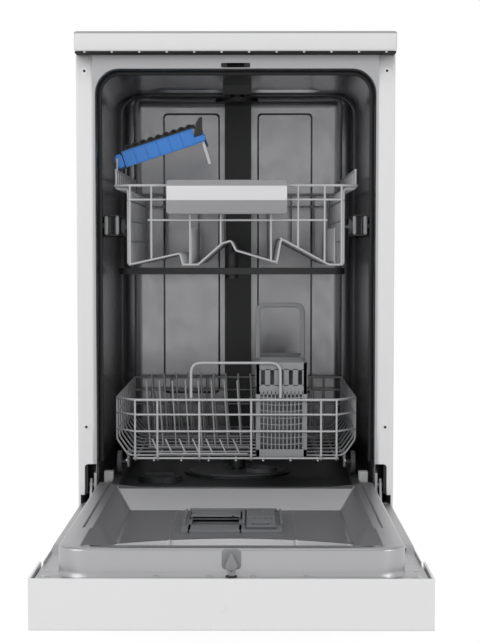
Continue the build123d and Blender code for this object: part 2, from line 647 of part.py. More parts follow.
def hinges():
    """Each hinge: a bracket with its pin on the tub, an arm in the door, and a cover."""
    x0 = TUB_HALF + TUB_SHEET
    x1 = x0 + BRACKET_THICK
    arm_back_x = ARM_X + ARM_THICK
    plate = side_plate([(BRACKET_FRONT_Y, BRACKET_LOW), (BRACKET_REACH, BRACKET_LOW),
                        (BRACKET_REACH, BRACKET_TOP), (BRACKET_SLOPE_Y, BRACKET_TOP),
                        (BRACKET_FRONT_Y, BRACKET_NECK)], x0, x1)
    pin = rod((x1, PIVOT_Y, PIVOT_Z), (arm_back_x + PIN_END, PIVOT_Y, PIVOT_Z), PIN_RADIUS)
    right = plate.fuse(pin)
    save("hinge_brackets", right, mirrored(right))
    arm = side_plate([(y, PIVOT_Z + rise) for y, rise in ARM_LINE], ARM_X, arm_back_x)
    arm = arm - rod((ARM_X - 1, PIVOT_Y, PIVOT_Z), (arm_back_x + 1, PIVOT_Y, PIVOT_Z),
                    PIN_RADIUS + PIN_CLEARANCE)
    foot = block(ARM_X, DOOR_WIDTH / 2 - SHEET, *ARM_FOOT_Y, ARM_FOOT_Z, ARM_FOOT_Z + ARM_THICK)
    arm = arm.fuse(foot)
    save("hinge_arms", arm, mirrored(arm))
    outer_x = SLOT_OUTER_X + 1
    front = COVER_BACK_Y - COVER_THICK
    cover = block(arm_back_x + PIN_END + COVER_GAP, outer_x, COVER_FACE_Y, front, COVER_LOW, COVER_HIGH)
    rear = block(x1 + COVER_GAP, outer_x, front, COVER_BACK_Y, COVER_LOW, COVER_HIGH)
    cover = cover.fuse(rear)
    save("hinge_covers", cover, mirrored(cover))


def screws():
    """Round-headed screws in the cabinet's returns and in the door's inner edge."""
    heads = []
    for side in (-1, 1):
        for z in CABINET_SCREWS_Z:
            x = side * CABINET_SCREW_X
            heads.append(rod((x, -SCREW_PROUD, z), (x, 0, z), SCREW_RADIUS))
    save("cabinet_screws", *heads)
    heads = []
    for side in (-1, 1):
        for y in DOOR_SCREWS_Y:
            x = side * (LINER_HALF + DOOR_WIDTH / 2) / 2
            heads.append(rod((x, y, DOOR_FLANGE_Z), (x, y, DOOR_FLANGE_Z + SCREW_PROUD), SCREW_RADIUS))
        for x in EDGE_SCREWS_X:
            heads.append(rod((side * x, EDGE_SCREW_Y, DOOR_FLANGE_Z),
                             (side * x, EDGE_SCREW_Y, DOOR_FLANGE_Z + SCREW_PROUD), SCREW_RADIUS))
    save("door_screws", *heads)


def frustum(low, high):
    """A solid between two level rectangles, each (x half, y0, y1, z)."""
    faces = []
    for half, y0, y1, z in (low, high):
        place = Plane(origin=(0, (y0 + y1) / 2, z))
        faces.append((place * Rectangle(2 * half, y1 - y0)).face())
    return loft(faces, ruled=True)


def recess(grow):
    """The dished space in the door's inner side, grown outwards by grow for the sheet."""
    floor = LINER_FLOOR - grow
    over = LINER_TOP + 5
    rise = LINER_TOP - LINER_FLOOR
    front_top = LINER_FRONT_Y + LINER_LAND
    front_half = LEDGE_INNER + LINER_WIDENING
    lean = (front_half - RECESS_FLOOR_HALF) / rise
    run = (RECESS_FRONT_Y - front_top) / rise
    back_run = -(RECESS_BACK_Y + LINER_HEEL_DEPTH) / (LINER_HEEL_Z - LINER_FLOOR)
    ledge_lean = (LEDGE_INNER - RECESS_FLOOR_HALF) / (LEDGE_Z - LINER_FLOOR)
    up = over - floor
    step = LINER_STEP_Y + grow
    half = RECESS_FLOOR_HALF + grow
    front = RECESS_FRONT_Y - grow
    back = RECESS_BACK_Y + grow
    ahead = frustum((half, front, step, floor),
                    (half + lean * up, front - run * up, step, over))
    behind = frustum((half, step - 1, back, floor),
                     (half + ledge_lean * up, step - 1, back + back_run * up, over))
    return ahead.fuse(behind)


def door_liner():
    """The steel inner side: a flat edge, a raised rim, a dished middle and two wheel ledges."""
    inset = DOOR_SHEET
    edge = DOOR_WIDTH / 2
    plate = block(-edge, edge, 2 - DOOR_REACH, DOOR_HEEL_Y, DOOR_FLANGE_Z - inset, DOOR_FLANGE_Z)
    low = LINER_FLOOR - inset
    rim = block(-LINER_HALF, LINER_HALF, LINER_FRONT_Y, 0, low, LINER_TOP)
    rim = fillet(rim.edges().filter_by(Axis.Z).group_by(Axis.Y)[0], LINER_RADIUS)
    hollow = block(-LINER_HALF + inset, LINER_HALF - inset, LINER_FRONT_Y + inset, -inset,
                   low - 1, LINER_TOP - inset)
    hollow = fillet(hollow.edges().filter_by(Axis.Z).group_by(Axis.Y)[0], LINER_RADIUS - inset)
    ledge = block(-LEDGE_OUTER, LEDGE_OUTER, LINER_STEP_Y, 1, LEDGE_Z, LINER_TOP + 1)
    under_ledge = block(-LEDGE_OUTER - inset, LEDGE_OUTER + inset, LINER_STEP_Y - inset, 1,
                        LEDGE_Z - inset, LINER_TOP + 1)
    heel = block(-LEDGE_OUTER, LEDGE_OUTER, -LINER_HEEL_DEPTH, 1, LINER_HEEL_Z, LINER_TOP + 1)
    under_heel = block(-LEDGE_OUTER - inset, LEDGE_OUTER + inset, -LINER_HEEL_DEPTH - inset, 1,
                       LINER_HEEL_Z - inset, LINER_TOP + 1)
    liner = plate.fuse(rim) - recess(0) - ledge - heel
    liner = liner - (hollow - recess(inset) - under_ledge - under_heel)
    hole = block(DISPENSER_LEFT + DISPENSER_RIM, DISPENSER_RIGHT - DISPENSER_RIM,
                 DISPENSER_FRONT_Y + DISPENSER_RIM, DISPENSER_BACK_Y - DISPENSER_RIM,
                 low - 1, LINER_FLOOR + 1)
    save("door_liner", liner - hole)


def outer_panel():
    """The painted outer sheet, folded up at its sides to meet the liner's edge."""
    edge = DOOR_WIDTH / 2
    front = CONTROL_HEIGHT - DOOR_REACH
    top = DOOR_FLANGE_Z - DOOR_SHEET
    skin = block(-edge, edge, front, SKIN_TAIL_Y, DOOR_OUTER_Z, DOOR_OUTER_Z + SHEET)
    tail = block(-edge, edge, SKIN_TAIL_Y - SHEET, SKIN_TAIL_Y, DOOR_OUTER_Z, SKIN_TAIL_TOP)
    fold = side_plate([(front, DOOR_OUTER_Z), (SKIN_TAIL_Y, DOOR_OUTER_Z),
                       (SKIN_TAIL_Y, SKIN_TAIL_TOP), (SKIN_TAIL_FRONT_Y, SKIN_TAIL_TOP),
                       (DOOR_HEEL_Y, top), (front, top)], edge - SHEET, edge)
    save("outer_panel", fused([skin, tail, fold, mirrored(fold)]))


def control_panel():
    """The plastic cap on the door's upper end, with its hollow grip, buttons and display."""
    back = CONTROL_HEIGHT - DOOR_REACH
    top = DOOR_FLANGE_Z - DOOR_SHEET
    wall = CONTROL_WALL
    front = -DOOR_REACH
    cap = block(-HALF, HALF, front, back, DOOR_OUTER_Z, top)
    cap = fillet(cap.edges().filter_by(Axis.X).group_by(Axis.Z)[0].group_by(Axis.Y)[0], wall)
    inner = block(-HALF + wall, HALF - wall, front + wall, back + 1, DOOR_OUTER_Z + wall, top + 1)
    grip_y = (front + HANDLE_HOLLOW_INSET, front + HANDLE_HOLLOW_INSET + HANDLE_HOLLOW_HIGH)
    half = HANDLE_HOLLOW_WIDTH / 2
    grip_top = DOOR_OUTER_Z + HANDLE_HOLLOW_DEPTH
    shell = block(-half - wall, half + wall, grip_y[0] - wall, grip_y[1] + wall,
                  DOOR_OUTER_Z, grip_top + wall)
    grip = block(-half, half, *grip_y, DOOR_OUTER_Z - 1, grip_top)
    cap = (cap - inner).fuse(shell) - grip
    for x in (-BUTTON_X, BUTTON_X):
        cap = cap - rod((x, BUTTON_Y, DOOR_OUTER_Z - 1), (x, BUTTON_Y, DOOR_OUTER_Z + wall + 1),
                        BUTTON_RADIUS + BUTTON_GAP)
    save("control_panel", cap - display())
    save("display_window", display())
    for name, x in (("power_button", -BUTTON_X), ("program_button", BUTTON_X)):
        low = DOOR_OUTER_Z - BUTTON_PROUD
        save(name, rod((x, BUTTON_Y, low), (x, BUTTON_Y, low + BUTTON_LENGTH), BUTTON_RADIUS))


def display():
    """The display's dark window, level with the panel's face."""
    half = DISPLAY_WIDTH / 2
    y0 = BUTTON_Y - DISPLAY_HIGH / 2
    return block(DISPLAY_X - half, DISPLAY_X + half, y0, y0 + DISPLAY_HIGH,
                 DOOR_OUTER_Z, DOOR_OUTER_Z + DISPLAY_THICK)


def dispenser():
    """The detergent cup with its sliding lid, and the rinse aid's flap beside it."""
    plate_top = LINER_FLOOR + DISPENSER_PLATE
    rib_top = LINER_FLOOR + DISPENSER_RIB
    low = LINER_FLOOR - DISPENSER_DEEP
    plate = block(DISPENSER_LEFT, DISPENSER_RIGHT, DISPENSER_FRONT_Y, DISPENSER_BACK_Y,
                  LINER_FLOOR, plate_top)
    inset = DISPENSER_RIM + LID_GAP
    housing = block(DISPENSER_LEFT + inset, DISPENSER_RIGHT - inset, DISPENSER_FRONT_Y + inset,
                    DISPENSER_BACK_Y - inset, low, LINER_FLOOR)
    cup_back = CUP_FRONT_Y + CUP_LENGTH
    cup = block(CUP_LEFT, CUP_RIGHT, CUP_FRONT_Y, cup_back, plate_top - CUP_DEEP, plate_top + 1)
    ribs = []
    lid_back = cup_back + LID_TRAVEL + LID_EDGE
    thick = DISPENSER_RIB_THICK
    for x in (CUP_LEFT - LID_EDGE - LID_GAP - thick, CUP_RIGHT + LID_EDGE + LID_GAP):
        ribs.append(block(x, x + thick, CUP_FRONT_Y - LID_EDGE, lid_back, plate_top, rib_top))
    stop = block(CUP_LEFT, CUP_RIGHT, lid_back + LID_GAP, lid_back + LID_EDGE + LID_STOP,
                 plate_top, rib_top)
    rinse = block(RINSE_LEFT, RINSE_RIGHT, RINSE_HINGE_Y + LID_GAP, DISPENSER_BACK_Y - DISPENSER_RIM,
                  plate_top, rib_top)
    body = fused([plate, housing, *ribs, stop, rinse]) - cup
    save("dispenser_body", body)
    z0 = plate_top + LID_GAP
    z1 = z0 + LID_THICK
    lid = block(CUP_LEFT - LID_EDGE, CUP_RIGHT + LID_EDGE, cup_back, lid_back, z0, z1)
    grip = block(CUP_LEFT + 14, CUP_RIGHT - 14, cup_back + 2, cup_back + 6, z1 - 2, z1 + 1)
    save("dispenser_lid", lid - grip)
    flap_front = RINSE_HINGE_Y - RINSE_LENGTH
    flap = block(RINSE_LEFT, RINSE_RIGHT, flap_front, RINSE_HINGE_Y, z0, z1)
    notch = block(RINSE_LEFT + 8, RINSE_RIGHT - 8, flap_front + 6, flap_front + 11, z1 - 1.6, z1 + 1)
    save("rinse_aid_flap", flap - notch)


def door_strike():
    """The tongue on the door's edge that goes through the slot into the latch."""
    y1 = LINER_FRONT_Y - TONGUE_GAP
    top = DOOR_FLANGE_Z + TONGUE_HIGH
    half = TONGUE_HALF
    shoulder = DOOR_FLANGE_Z + TONGUE_SHOULDER
    corners = [(-half, DOOR_FLANGE_Z), (half, DOOR_FLANGE_Z), (half, shoulder),
               (TONGUE_TIP, top), (-TONGUE_TIP, top), (-half, shoulder)]
    save("door_strike", outline(corners, Plane.XZ.offset(-y1), TONGUE_THICK))


def lower_wheels():
    """Two pairs of wheels, each with the stub it turns on."""
    z = LEDGE_Z + WHEEL_CLEARANCE + WHEEL_RADIUS
    inner = WHEEL_X - WHEEL_WIDTH / 2
    for name, y in (("lower_wheels_front", WHEEL_FRONT_Y), ("lower_wheels_rear", WHEEL_REAR_Y)):
        tyre = rod((inner, y, z), (inner + WHEEL_WIDTH, y, z), WHEEL_RADIUS)
        stub = rod((HANGER_X + HANGER_THICK + HANGER_GAP, y, z), (inner, y, z), AXLE_RADIUS)
        wheel = tyre.fuse(stub)
        save(name, wheel, mirrored(wheel))


def lower_basket():
    """The lower wire basket: a floor, four walls, the rows of tines and a wire handle."""
    w = WIRE / 2
    half = LOWER_FLOOR_HALF
    z = LOWER_FLOOR_Z
    front = LOWER_FRONT_Y + WIRE
    back = LOWER_BACK_Y - WIRE
    bars = []
    for y in even(front + w, back - w, LOWER_CROSS_WIRES):
        bars.append(wire((-half, y, z), (half, y, z)))
    for x in even(-half, half, LOWER_LONG_WIRES):
        bars.append(wire((x, front + w, z), (x, back - w, z)))
    save("lower_basket_floor", fused(bars))

    top = LOWER_WIRES_Z[-1]
    ends = []
    for y, uprights in ((LOWER_FRONT_Y + w, LOWER_FRONT_UPRIGHTS),
                        (LOWER_BACK_Y - w, even(-LOWER_FRONT_HALF, LOWER_FRONT_HALF,
                                                LOWER_REAR_UPRIGHTS))):
        bars = []
        for level in (z, *LOWER_WIRES_Z):
            bars.append(wire((-LOWER_FRONT_HALF, y, level), (LOWER_FRONT_HALF, y, level)))
        for x in uprights:
            bars.append(wire((x, y, z), (x, y, top)))
        ends.append(fused(bars))

    side_x = LOWER_SIDE_X
    foot_x = half + WIRE
    bars = []
    for y in even(LOWER_CORNER_Y, back - w, LOWER_SIDE_UPRIGHTS):
        bars += bent_wire([(foot_x + w, y, z + WIRE), (side_x, y, LOWER_SIDE_FOOT), (side_x, y, top)])
    for level in LOWER_WIRES_Z:
        bars.append(wire((side_x, LOWER_CORNER_Y, level), (side_x, back - w, level)))
        bars.append(wire((LOWER_FRONT_HALF + WIRE, LOWER_FRONT_Y + WIRE, level),
                         (side_x, LOWER_CORNER_Y, level), 0))
    bars.append(wire((foot_x, LOWER_CORNER_Y, z), (foot_x, back - w, z)))
    axle_z = LEDGE_Z + WHEEL_CLEARANCE + WHEEL_RADIUS
    for y in (WHEEL_FRONT_Y, WHEEL_REAR_Y):
        bars.append(block(HANGER_X, HANGER_X + HANGER_THICK, y - HANGER_HALF, y + HANGER_HALF,
                          axle_z - HANGER_FOOT, z + w))
    side = fused(bars)
    save("lower_basket_walls", *ends, side, mirrored(side))

    rows = []
    base_z = z + WIRE
    for y, high, lean, first, last in LOWER_TINE_ROWS:
        bars = [wire((first, y, base_z), (last, y, base_z))]
        count = int((last - first) / TINE_PITCH) + 1
        for i in range(count):
            x = first + i * TINE_PITCH
            bars.append(wire((x, y, base_z), (x - lean, y, z + high)))
        rows.append(fused(bars))
    save("lower_basket_tines", *rows)

    y = LOWER_FRONT_Y + w
    foot = top + WIRE
    grip = bent_wire([(-LOWER_HANDLE_HALF, y, foot), (-LOWER_HANDLE_HALF, y, LOWER_HANDLE_Z),
                      (LOWER_HANDLE_HALF, y, LOWER_HANDLE_Z), (LOWER_HANDLE_HALF, y, foot)])
    save("lower_basket_handle", fused(grip))


def cutlery_basket():
    """The open cutlery basket: thin walls, a wall across its middle that ends in the grip."""
    z0 = LOWER_FLOOR_Z + WIRE / 2 + CUTLERY_GAP
    y0 = LOWER_FRONT_Y + WIRE + CUTLERY_GAP + 1
    y1 = y0 + CUTLERY_LENGTH
    wall = CUTLERY_WALL
    shell = block(CUTLERY_LEFT, CUTLERY_RIGHT, y0, y1, z0, CUTLERY_TOP)
    middle = (y0 + y1) / 2
    cells = []
    for a, b in ((y0 + wall, middle - wall / 2), (middle + wall / 2, y1 - wall)):
        cells.append(block(CUTLERY_LEFT + wall, CUTLERY_RIGHT - wall, a, b,
                           z0 + CUTLERY_BASE, CUTLERY_TOP + 1))
    slots = []
    centre = (CUTLERY_LEFT + CUTLERY_RIGHT) / 2
    for i in range(CUTLERY_SLOTS):
        x = centre + (i - (CUTLERY_SLOTS - 1) / 2) * CUTLERY_SLOT_PITCH
        slots.append(block(x - CUTLERY_SLOT_WIDTH / 2, x + CUTLERY_SLOT_WIDTH / 2, y0 - 1,
                           y0 + wall + 1, CUTLERY_SLOT_Z, CUTLERY_SLOT_Z + CUTLERY_SLOT_HIGH))
    half_wall = wall / 2
    grip = block(CUTLERY_LEFT, CUTLERY_RIGHT, middle - half_wall, middle + half_wall,
                 CUTLERY_TOP, CUTLERY_GRIP_TOP)
    grip = fillet(grip.edges().filter_by(Axis.Y).group_by(Axis.Z)[-1], CUTLERY_GRIP_RADIUS)
    edge = wall + 3
    gap = block(CUTLERY_LEFT + edge, CUTLERY_RIGHT - edge, middle - wall, middle + wall,
                CUTLERY_TOP, CUTLERY_GRIP_TOP - CUTLERY_GRIP_BAR)
    gap = fillet(gap.edges().filter_by(Axis.Y).group_by(Axis.Z)[-1], CUTLERY_GRIP_RADIUS - 5)
    save("cutlery_basket", (shell.cut(*cells, *slots)).fuse(grip).cut(gap))


def upper_profile(y):
    """One of the upper basket's bent floor wires, at its place along the basket."""
    return [(x, y, UPPER_FLOOR_Z + rise) for x, rise in UPPER_FLOOR_LINE]


def upper_end(y):
    """The upper basket's front or back wall, at its place along the basket."""
    low, *levels = UPPER_WIRES_Z
    bars = bent_wire(upper_profile(y))
    bars.append(wire((UPPER_LOW_WIRE[0], y, low), (UPPER_LOW_WIRE[1], y, low)))
    for level in levels:
        bars.append(wire((-UPPER_FRONT_HALF, y, level), (UPPER_FRONT_HALF, y, level)))
    for x, rise in UPPER_FRONT_UPRIGHTS:
        bars.append(wire((x, y, UPPER_FLOOR_Z + rise), (x, y, levels[-1])))
    return fused(bars)


def upper_side(back):
    """The upper basket's right wall, which steps out near its top, with its roller brackets."""
    w = WIRE / 2
    front = UPPER_FRONT_Y + WIRE + 1
    middle, shoulder = UPPER_WIRES_Z[1:]
    bars = []
    for y in even(UPPER_SIDE_START, back, UPPER_SIDE_UPRIGHTS):
        bars += bent_wire([(UPPER_HALF, y, UPPER_FLOOR_Z), (UPPER_HALF, y, UPPER_SHOULDER_Z),
                           (UPPER_TOP_HALF, y, shoulder), (UPPER_TOP_HALF, y, UPPER_RIM_Z)])
    for x, z in ((UPPER_HALF, UPPER_FLOOR_Z + UPPER_SIDE_LOW), (UPPER_HALF, UPPER_WIRES_Z[0]),
                 (UPPER_HALF, middle), (UPPER_TOP_HALF, shoulder), (UPPER_TOP_HALF, UPPER_RIM_Z)):
        bars.append(wire((x, UPPER_SIDE_START, z), (x, back, z)))
    for x, z in ((UPPER_TOP_HALF, shoulder), (UPPER_HALF, middle)):
        bars.append(wire((UPPER_FRONT_HALF + WIRE, front, z), (x, UPPER_SIDE_START, z), 0))
    for y in BASKET_ROLLER_Y:
        bars.append(block(UPPER_HALF + w - 1, BRACKET_FACE_X,
                          y - BRACKET_HALF_LENGTH, y + BRACKET_HALF_LENGTH,
                          RAIL_Z - BRACKET_HALF_HIGH, RAIL_Z + BRACKET_HALF_HIGH))
    return fused(bars)


def upper_basket():
    """The upper wire basket: a bent floor, four walls, two rows of tines and the handle."""
    w = WIRE / 2
    front = UPPER_FRONT_Y + WIRE
    back = UPPER_BACK_Y - WIRE
    bars = []
    for y in upper_cross_places():
        bars += bent_wire(upper_profile(y))
    for x, rise in UPPER_LONG_LINES:
        z = UPPER_FLOOR_Z + rise
        bars.append(wire((x, front, z), (x, back, z), 0))
    save("upper_basket_floor", fused(bars))

    side = upper_side(back - w)
    left = mirrored(side).fuse(*shelf_posts())
    save("upper_basket_walls", upper_end(UPPER_FRONT_Y + w), upper_end(UPPER_BACK_Y - w), side, left)

    rows = []
    base = UPPER_FLOOR_Z + WIRE
    for x in UPPER_TINE_LINES:
        bars = [wire((x, UPPER_SIDE_START + 10, base), (x, back - 10, base))]
        for y in even(UPPER_SIDE_START + 20, back - 20, UPPER_TINES):
            bars.append(wire((x, y, base), (x, y, base + UPPER_TINE_HIGH)))
        rows.append(fused(bars))
    save("upper_basket_tines", *rows)

    grip = block(GRIP_LEFT, GRIP_RIGHT, UPPER_FRONT_Y - GRIP_DEPTH, UPPER_FRONT_Y, GRIP_LOW, GRIP_TOP)
    save("upper_basket_handle", fillet(grip.edges().filter_by(Axis.Y), GRIP_CORNER))


def upper_cross_places():
    """Where the upper basket's bent floor wires lie along it."""
    return even(UPPER_SIDE_START, UPPER_BACK_Y - 1.5 * WIRE, UPPER_CROSS_WIRES)


def shelf_posts():
    """The two posts on the basket's left rim and the pin between them that carries the shelf."""
    x, z = -UPPER_TOP_HALF, SHELF_PIVOT_Z
    front = SHELF_FRONT_Y - SHELF_GAP
    back = SHELF_BACK_Y + SHELF_GAP
    posts = []
    for y in (front - WIRE / 2, back + WIRE / 2):
        posts.append(wire((x, y, UPPER_RIM_Z), (x, y, z)))
    posts.append(rod((x, front - 1, z), (x, back + 1, z), SHELF_PIN))
    return posts


def cup_shelf():
    """The folding shelf for cups, tilted up on its pin, with a comb along its front bar."""
    x = -UPPER_TOP_HALF
    z = SHELF_PIVOT_Z
    y0, y1 = SHELF_FRONT_Y, SHELF_BACK_Y
    low = z - SHELF_KNUCKLE
    bar_top = low + SHELF_BAR_HIGH
    comb_y = y0 + SHELF_BAR_THICK
    end_x = x + SHELF_WIDTH
    knuckle = rod((x, y0, z), (x, y1, z), SHELF_KNUCKLE)
    plate = block(x, end_x, y0, y1, z - SHELF_PLATE / 2, z + SHELF_PLATE / 2)
    bar = block(x, end_x, y0, comb_y, low, bar_top)
    comb = []
    for i in range(SHELF_TEETH):
        left = x + 8 + i * SHELF_TOOTH_PITCH
        comb.append(block(left, left + SHELF_TOOTH_WIDTH, y0, comb_y, bar_top,
                          bar_top + SHELF_TOOTH_HIGH))
    end = block(end_x, end_x + SHELF_PLATE, y0, y1, low, low + SHELF_END_HIGH)
    shelf = fused([knuckle, plate, bar, *comb, end])
    shelf = shelf - rod((x, y0 - 1, z), (x, y1 + 1, z), SHELF_PIN + PIN_CLEARANCE)
    tilt = Pos(x, 0, z) * Rot(0, -SHELF_TILT, 0) * Pos(-x, 0, -z)
    save("cup_shelf", tilt * shelf)


def upper_rails():
    """A rail each side, like an H on its side: tub rollers outside, basket rollers inside."""
    half_gap = ROLLER_RADIUS + ROLLER_CLEARANCE
    y1 = RAIL_BACK_Y
    web = block(RAIL_X, RAIL_X + RAIL_SHEET, RAIL_START_Y, y1, RAIL_Z - half_gap, RAIL_Z + half_gap)
    parts = [web]
    for side in (-1, 1):
        z = sorted((RAIL_Z + side * half_gap, RAIL_Z + side * (half_gap + RAIL_SHEET)))
        parts.append(block(RAIL_X - RAIL_REACH, RAIL_X + RAIL_SHEET + RAIL_REACH,
                           RAIL_START_Y, y1, *z))
    right = fused(parts)
    save("upper_rails", right, mirrored(right))
    outer = RAIL_X + RAIL_SHEET + ROLLER_SIDE_GAP
    for name, y in zip(("tub_rollers_front", "tub_rollers_rear"), TUB_ROLLER_Y):
        roller_pair(name, y, outer, outer + ROLLER_WIDTH, TUB_HALF - HANGER_GAP)
    inner = RAIL_X - ROLLER_SIDE_GAP
    for name, y in zip(("basket_rollers_front", "basket_rollers_rear"), BASKET_ROLLER_Y):
        roller_pair(name, y, inner, inner - ROLLER_WIDTH, BRACKET_FACE_X + HANGER_GAP)


def roller_pair(node, y, near, far, held_at):
    """A roller each side, from near to far across, on a stub that reaches what holds it."""
    roller = rod((near, y, RAIL_Z), (far, y, RAIL_Z), ROLLER_RADIUS)
    stub = rod((far, y, RAIL_Z), (held_at, y, RAIL_Z), AXLE_RADIUS)
    roller = roller.fuse(stub)
    save(node, roller, mirrored(roller))


def spray_arm(node, x, half, z, post_radius, hub_low, hub_high, bore_high):
    """A two-armed spray arm along X that turns on a post through its hub."""
    y = SPRAY_Y
    bar = block(x - half, x + half, y - SPRAY_WIDTH / 2, y + SPRAY_WIDTH / 2, z, z + SPRAY_THICK)
    bar = fillet(bar.edges().filter_by(Axis.Z), SPRAY_WIDTH / 2 - 1)
    hub = rod((x, y, hub_low), (x, y, hub_high), post_radius + SPRAY_HUB)
    bore = rod((x, y, hub_low - 1), (x, y, bore_high), post_radius + SPRAY_CLEARANCE)
    save(node, bar.fuse(hub) - bore)


def spray_arms():
    """The lower arm stands on the sump's post; the upper one hangs on the feed pipe's post."""
    top = LOWER_SPRAY_Z + SPRAY_THICK
    spray_arm("lower_spray_arm", 0, LOWER_SPRAY_HALF, LOWER_SPRAY_Z, SPRAY_POST_RADIUS,
              TUB_FLOOR_Z + LOWER_SPRAY_LIFT, top, top - SPRAY_HUB_CAP)
    low = UPPER_SPRAY_Z - FEED_NUT_DROP + FEED_NUT + SPRAY_CLEARANCE
    high = FEED_FOOT_Z - SPRAY_CLEARANCE
    spray_arm("upper_spray_arm", SPRAY_X, UPPER_SPRAY_HALF, UPPER_SPRAY_Z, FEED_POST_RADIUS,
              low, high, high + 1)


def feed_pipe():
    """The pipe from the duct's socket, clipped under the basket's floor, with the arm's post."""
    x, y = SPRAY_X, SPRAY_Y
    dock = TUB_BACK_Y - DUCT_DEPTH - SOCKET_LENGTH - FEED_DOCK_GAP
    nut_z = UPPER_SPRAY_Z - FEED_NUT_DROP
    pieces = [rod((x, y, FEED_Z), (x, dock, FEED_Z), FEED_RADIUS),
              rod((x, y, FEED_FOOT_Z), (x, y, FEED_Z + FEED_RADIUS / 2), FEED_RADIUS + 2),
              rod((x, y, nut_z), (x, y, FEED_FOOT_Z), FEED_POST_RADIUS),
              rod((x, y, nut_z), (x, y, nut_z + FEED_NUT), FEED_POST_RADIUS + 4)]
    places = upper_cross_places()
    for i in FEED_CLIP_WIRES:
        half = FEED_CLIP_LENGTH / 2
        pieces.append(block(x - FEED_CLIP_WIDTH, x, places[i] - half, places[i] + half,
                            FEED_Z, FEED_CLIP_TOP))
    save("spray_feed_pipe", fused(pieces))


os.makedirs("parts", exist_ok=True)
worktop()
side_panels()
rear_panel()
base()
tub()
front_frame()
gasket()
door_latch()
water_ways()
lower_tracks()
sump()
sump_filter()
softener()
pumps()
hinges()
screws()
door_liner()
outer_panel()
control_panel()
dispenser()
door_strike()
lower_wheels()
lower_basket()
cutlery_basket()
upper_basket()
cup_shelf()
upper_rails()
spray_arms()
feed_pipe()
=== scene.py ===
import bmesh
import bpy
import mathutils
import numpy as np
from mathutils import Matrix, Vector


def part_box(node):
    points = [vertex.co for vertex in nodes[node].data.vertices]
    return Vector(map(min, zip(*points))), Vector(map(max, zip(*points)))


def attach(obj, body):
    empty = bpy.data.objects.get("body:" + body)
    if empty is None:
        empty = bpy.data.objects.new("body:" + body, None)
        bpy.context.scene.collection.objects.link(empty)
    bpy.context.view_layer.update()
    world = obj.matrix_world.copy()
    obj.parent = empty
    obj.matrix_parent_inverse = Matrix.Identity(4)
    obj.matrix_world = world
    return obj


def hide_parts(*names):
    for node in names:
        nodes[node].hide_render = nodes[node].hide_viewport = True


# A freestanding dishwasher, 45 cm wide, with its door open and both racks in. Sizes are in
# millimetres: X from the machine's middle, Y from the cabinet's front plane, Z from the floor.
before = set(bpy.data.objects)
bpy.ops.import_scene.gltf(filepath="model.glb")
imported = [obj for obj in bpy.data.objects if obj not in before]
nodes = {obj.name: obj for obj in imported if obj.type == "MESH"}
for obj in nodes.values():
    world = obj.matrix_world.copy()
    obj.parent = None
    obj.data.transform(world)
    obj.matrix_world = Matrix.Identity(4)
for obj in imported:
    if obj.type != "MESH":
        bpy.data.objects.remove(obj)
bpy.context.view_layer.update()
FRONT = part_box("front_frame")[0].y
MM = 0.001

# Worktop: a 30 mm chipboard slab with white laminate and a softly rounded front edge. Under it lies
# a thin black strip of painted shade that darkens the overhang's underside, and small plastic spacers show
# under its front edge.
WORKTOP_X, WORKTOP_Y, WORKTOP_Z = (-224, 224), (-30, 541), (817, 845)
WORKTOP_CORNER, WORKTOP_EDGE = 5, 3.5
UNDERSIDE_SHADE_INSET, UNDERSIDE_SHADE_Z, SPACER_PITCH, SPACER_WIDE, SPACER_Z = 1.2, (815.0, 817.4), 38, 3.0, (815.2, 817.2)


def linear(code):
    """An sRGB hex colour as linear red, green, blue and alpha."""
    srgb = np.array([int(code[i:i + 2], 16) for i in (1, 3, 5)]) / 255
    rgb = np.where(srgb <= 0.04045, srgb / 12.92, ((srgb + 0.055) / 1.055) ** 2.4)
    return (*rgb.tolist(), 1.0)


def add(tree, kind, inputs=(), **settings):
    """Adds a node. Inputs are values, or the sockets that link to them; settings are its own."""
    made = tree.nodes.new("ShaderNode" + kind)
    for name, value in settings.items():
        setattr(made, name, value)
    for name, value in dict(inputs).items():
        if isinstance(value, bpy.types.NodeSocket):
            tree.links.new(value, made.inputs[name])
        else:
            made.inputs[name].default_value = value
    return made


def surface(name, colour, roughness, metallic=0.0, **more):
    """A new material with its shader's plain settings, and the object's own coordinates."""
    made = bpy.data.materials.new(name)
    made.use_nodes = True
    tree = made.node_tree
    shader = tree.nodes["Principled BSDF"]
    plain = {"Base Color": linear(colour), "Roughness": roughness, "Metallic": metallic, **more}
    for socket, value in plain.items():
        shader.inputs[socket].default_value = value
    return made, tree, shader, add(tree, "TexCoord").outputs["Object"]


def grained(name, colour, roughness, grit, depth, tint=0.06, **more):
    """A moulded or painted skin: grit in mm gives fine bumps, and slow patches shift its tone."""
    made, tree, shader, place = surface(name, colour, roughness, **more)
    fine = add(tree, "TexNoise", {"Vector": place, "Scale": 1000 / grit, "Detail": 3.0})
    bump = add(tree, "Bump", {"Height": fine.outputs["Fac"], "Distance": depth * MM, "Strength": 0.6})
    tree.links.new(bump.outputs["Normal"], shader.inputs["Normal"])
    slow = add(tree, "TexNoise", {"Vector": place, "Scale": 9.0, "Detail": 4.0})
    dark = [channel * (1 - tint) for channel in linear(colour)[:3]] + [1]
    tone = add(tree, "Mix", data_type="RGBA")
    tree.links.new(slow.outputs["Fac"], tone.inputs["Factor"])
    tone.inputs["A"].default_value = dark
    tone.inputs["B"].default_value = linear(colour)
    tree.links.new(tone.outputs["Result"], shader.inputs["Base Color"])
    sheen = add(tree, "MapRange", {"Value": slow.outputs["Fac"], "To Min": roughness - 0.04,
                                   "To Max": roughness + 0.06})
    tree.links.new(sheen.outputs["Result"], shader.inputs["Roughness"])
    return made


# Satin laminate: a fine pore print that the eye reads as a soft, even white.
laminate = grained("white_laminate", "#E6E6E7", 0.42, grit=1.2, depth=0.05, tint=0.03)
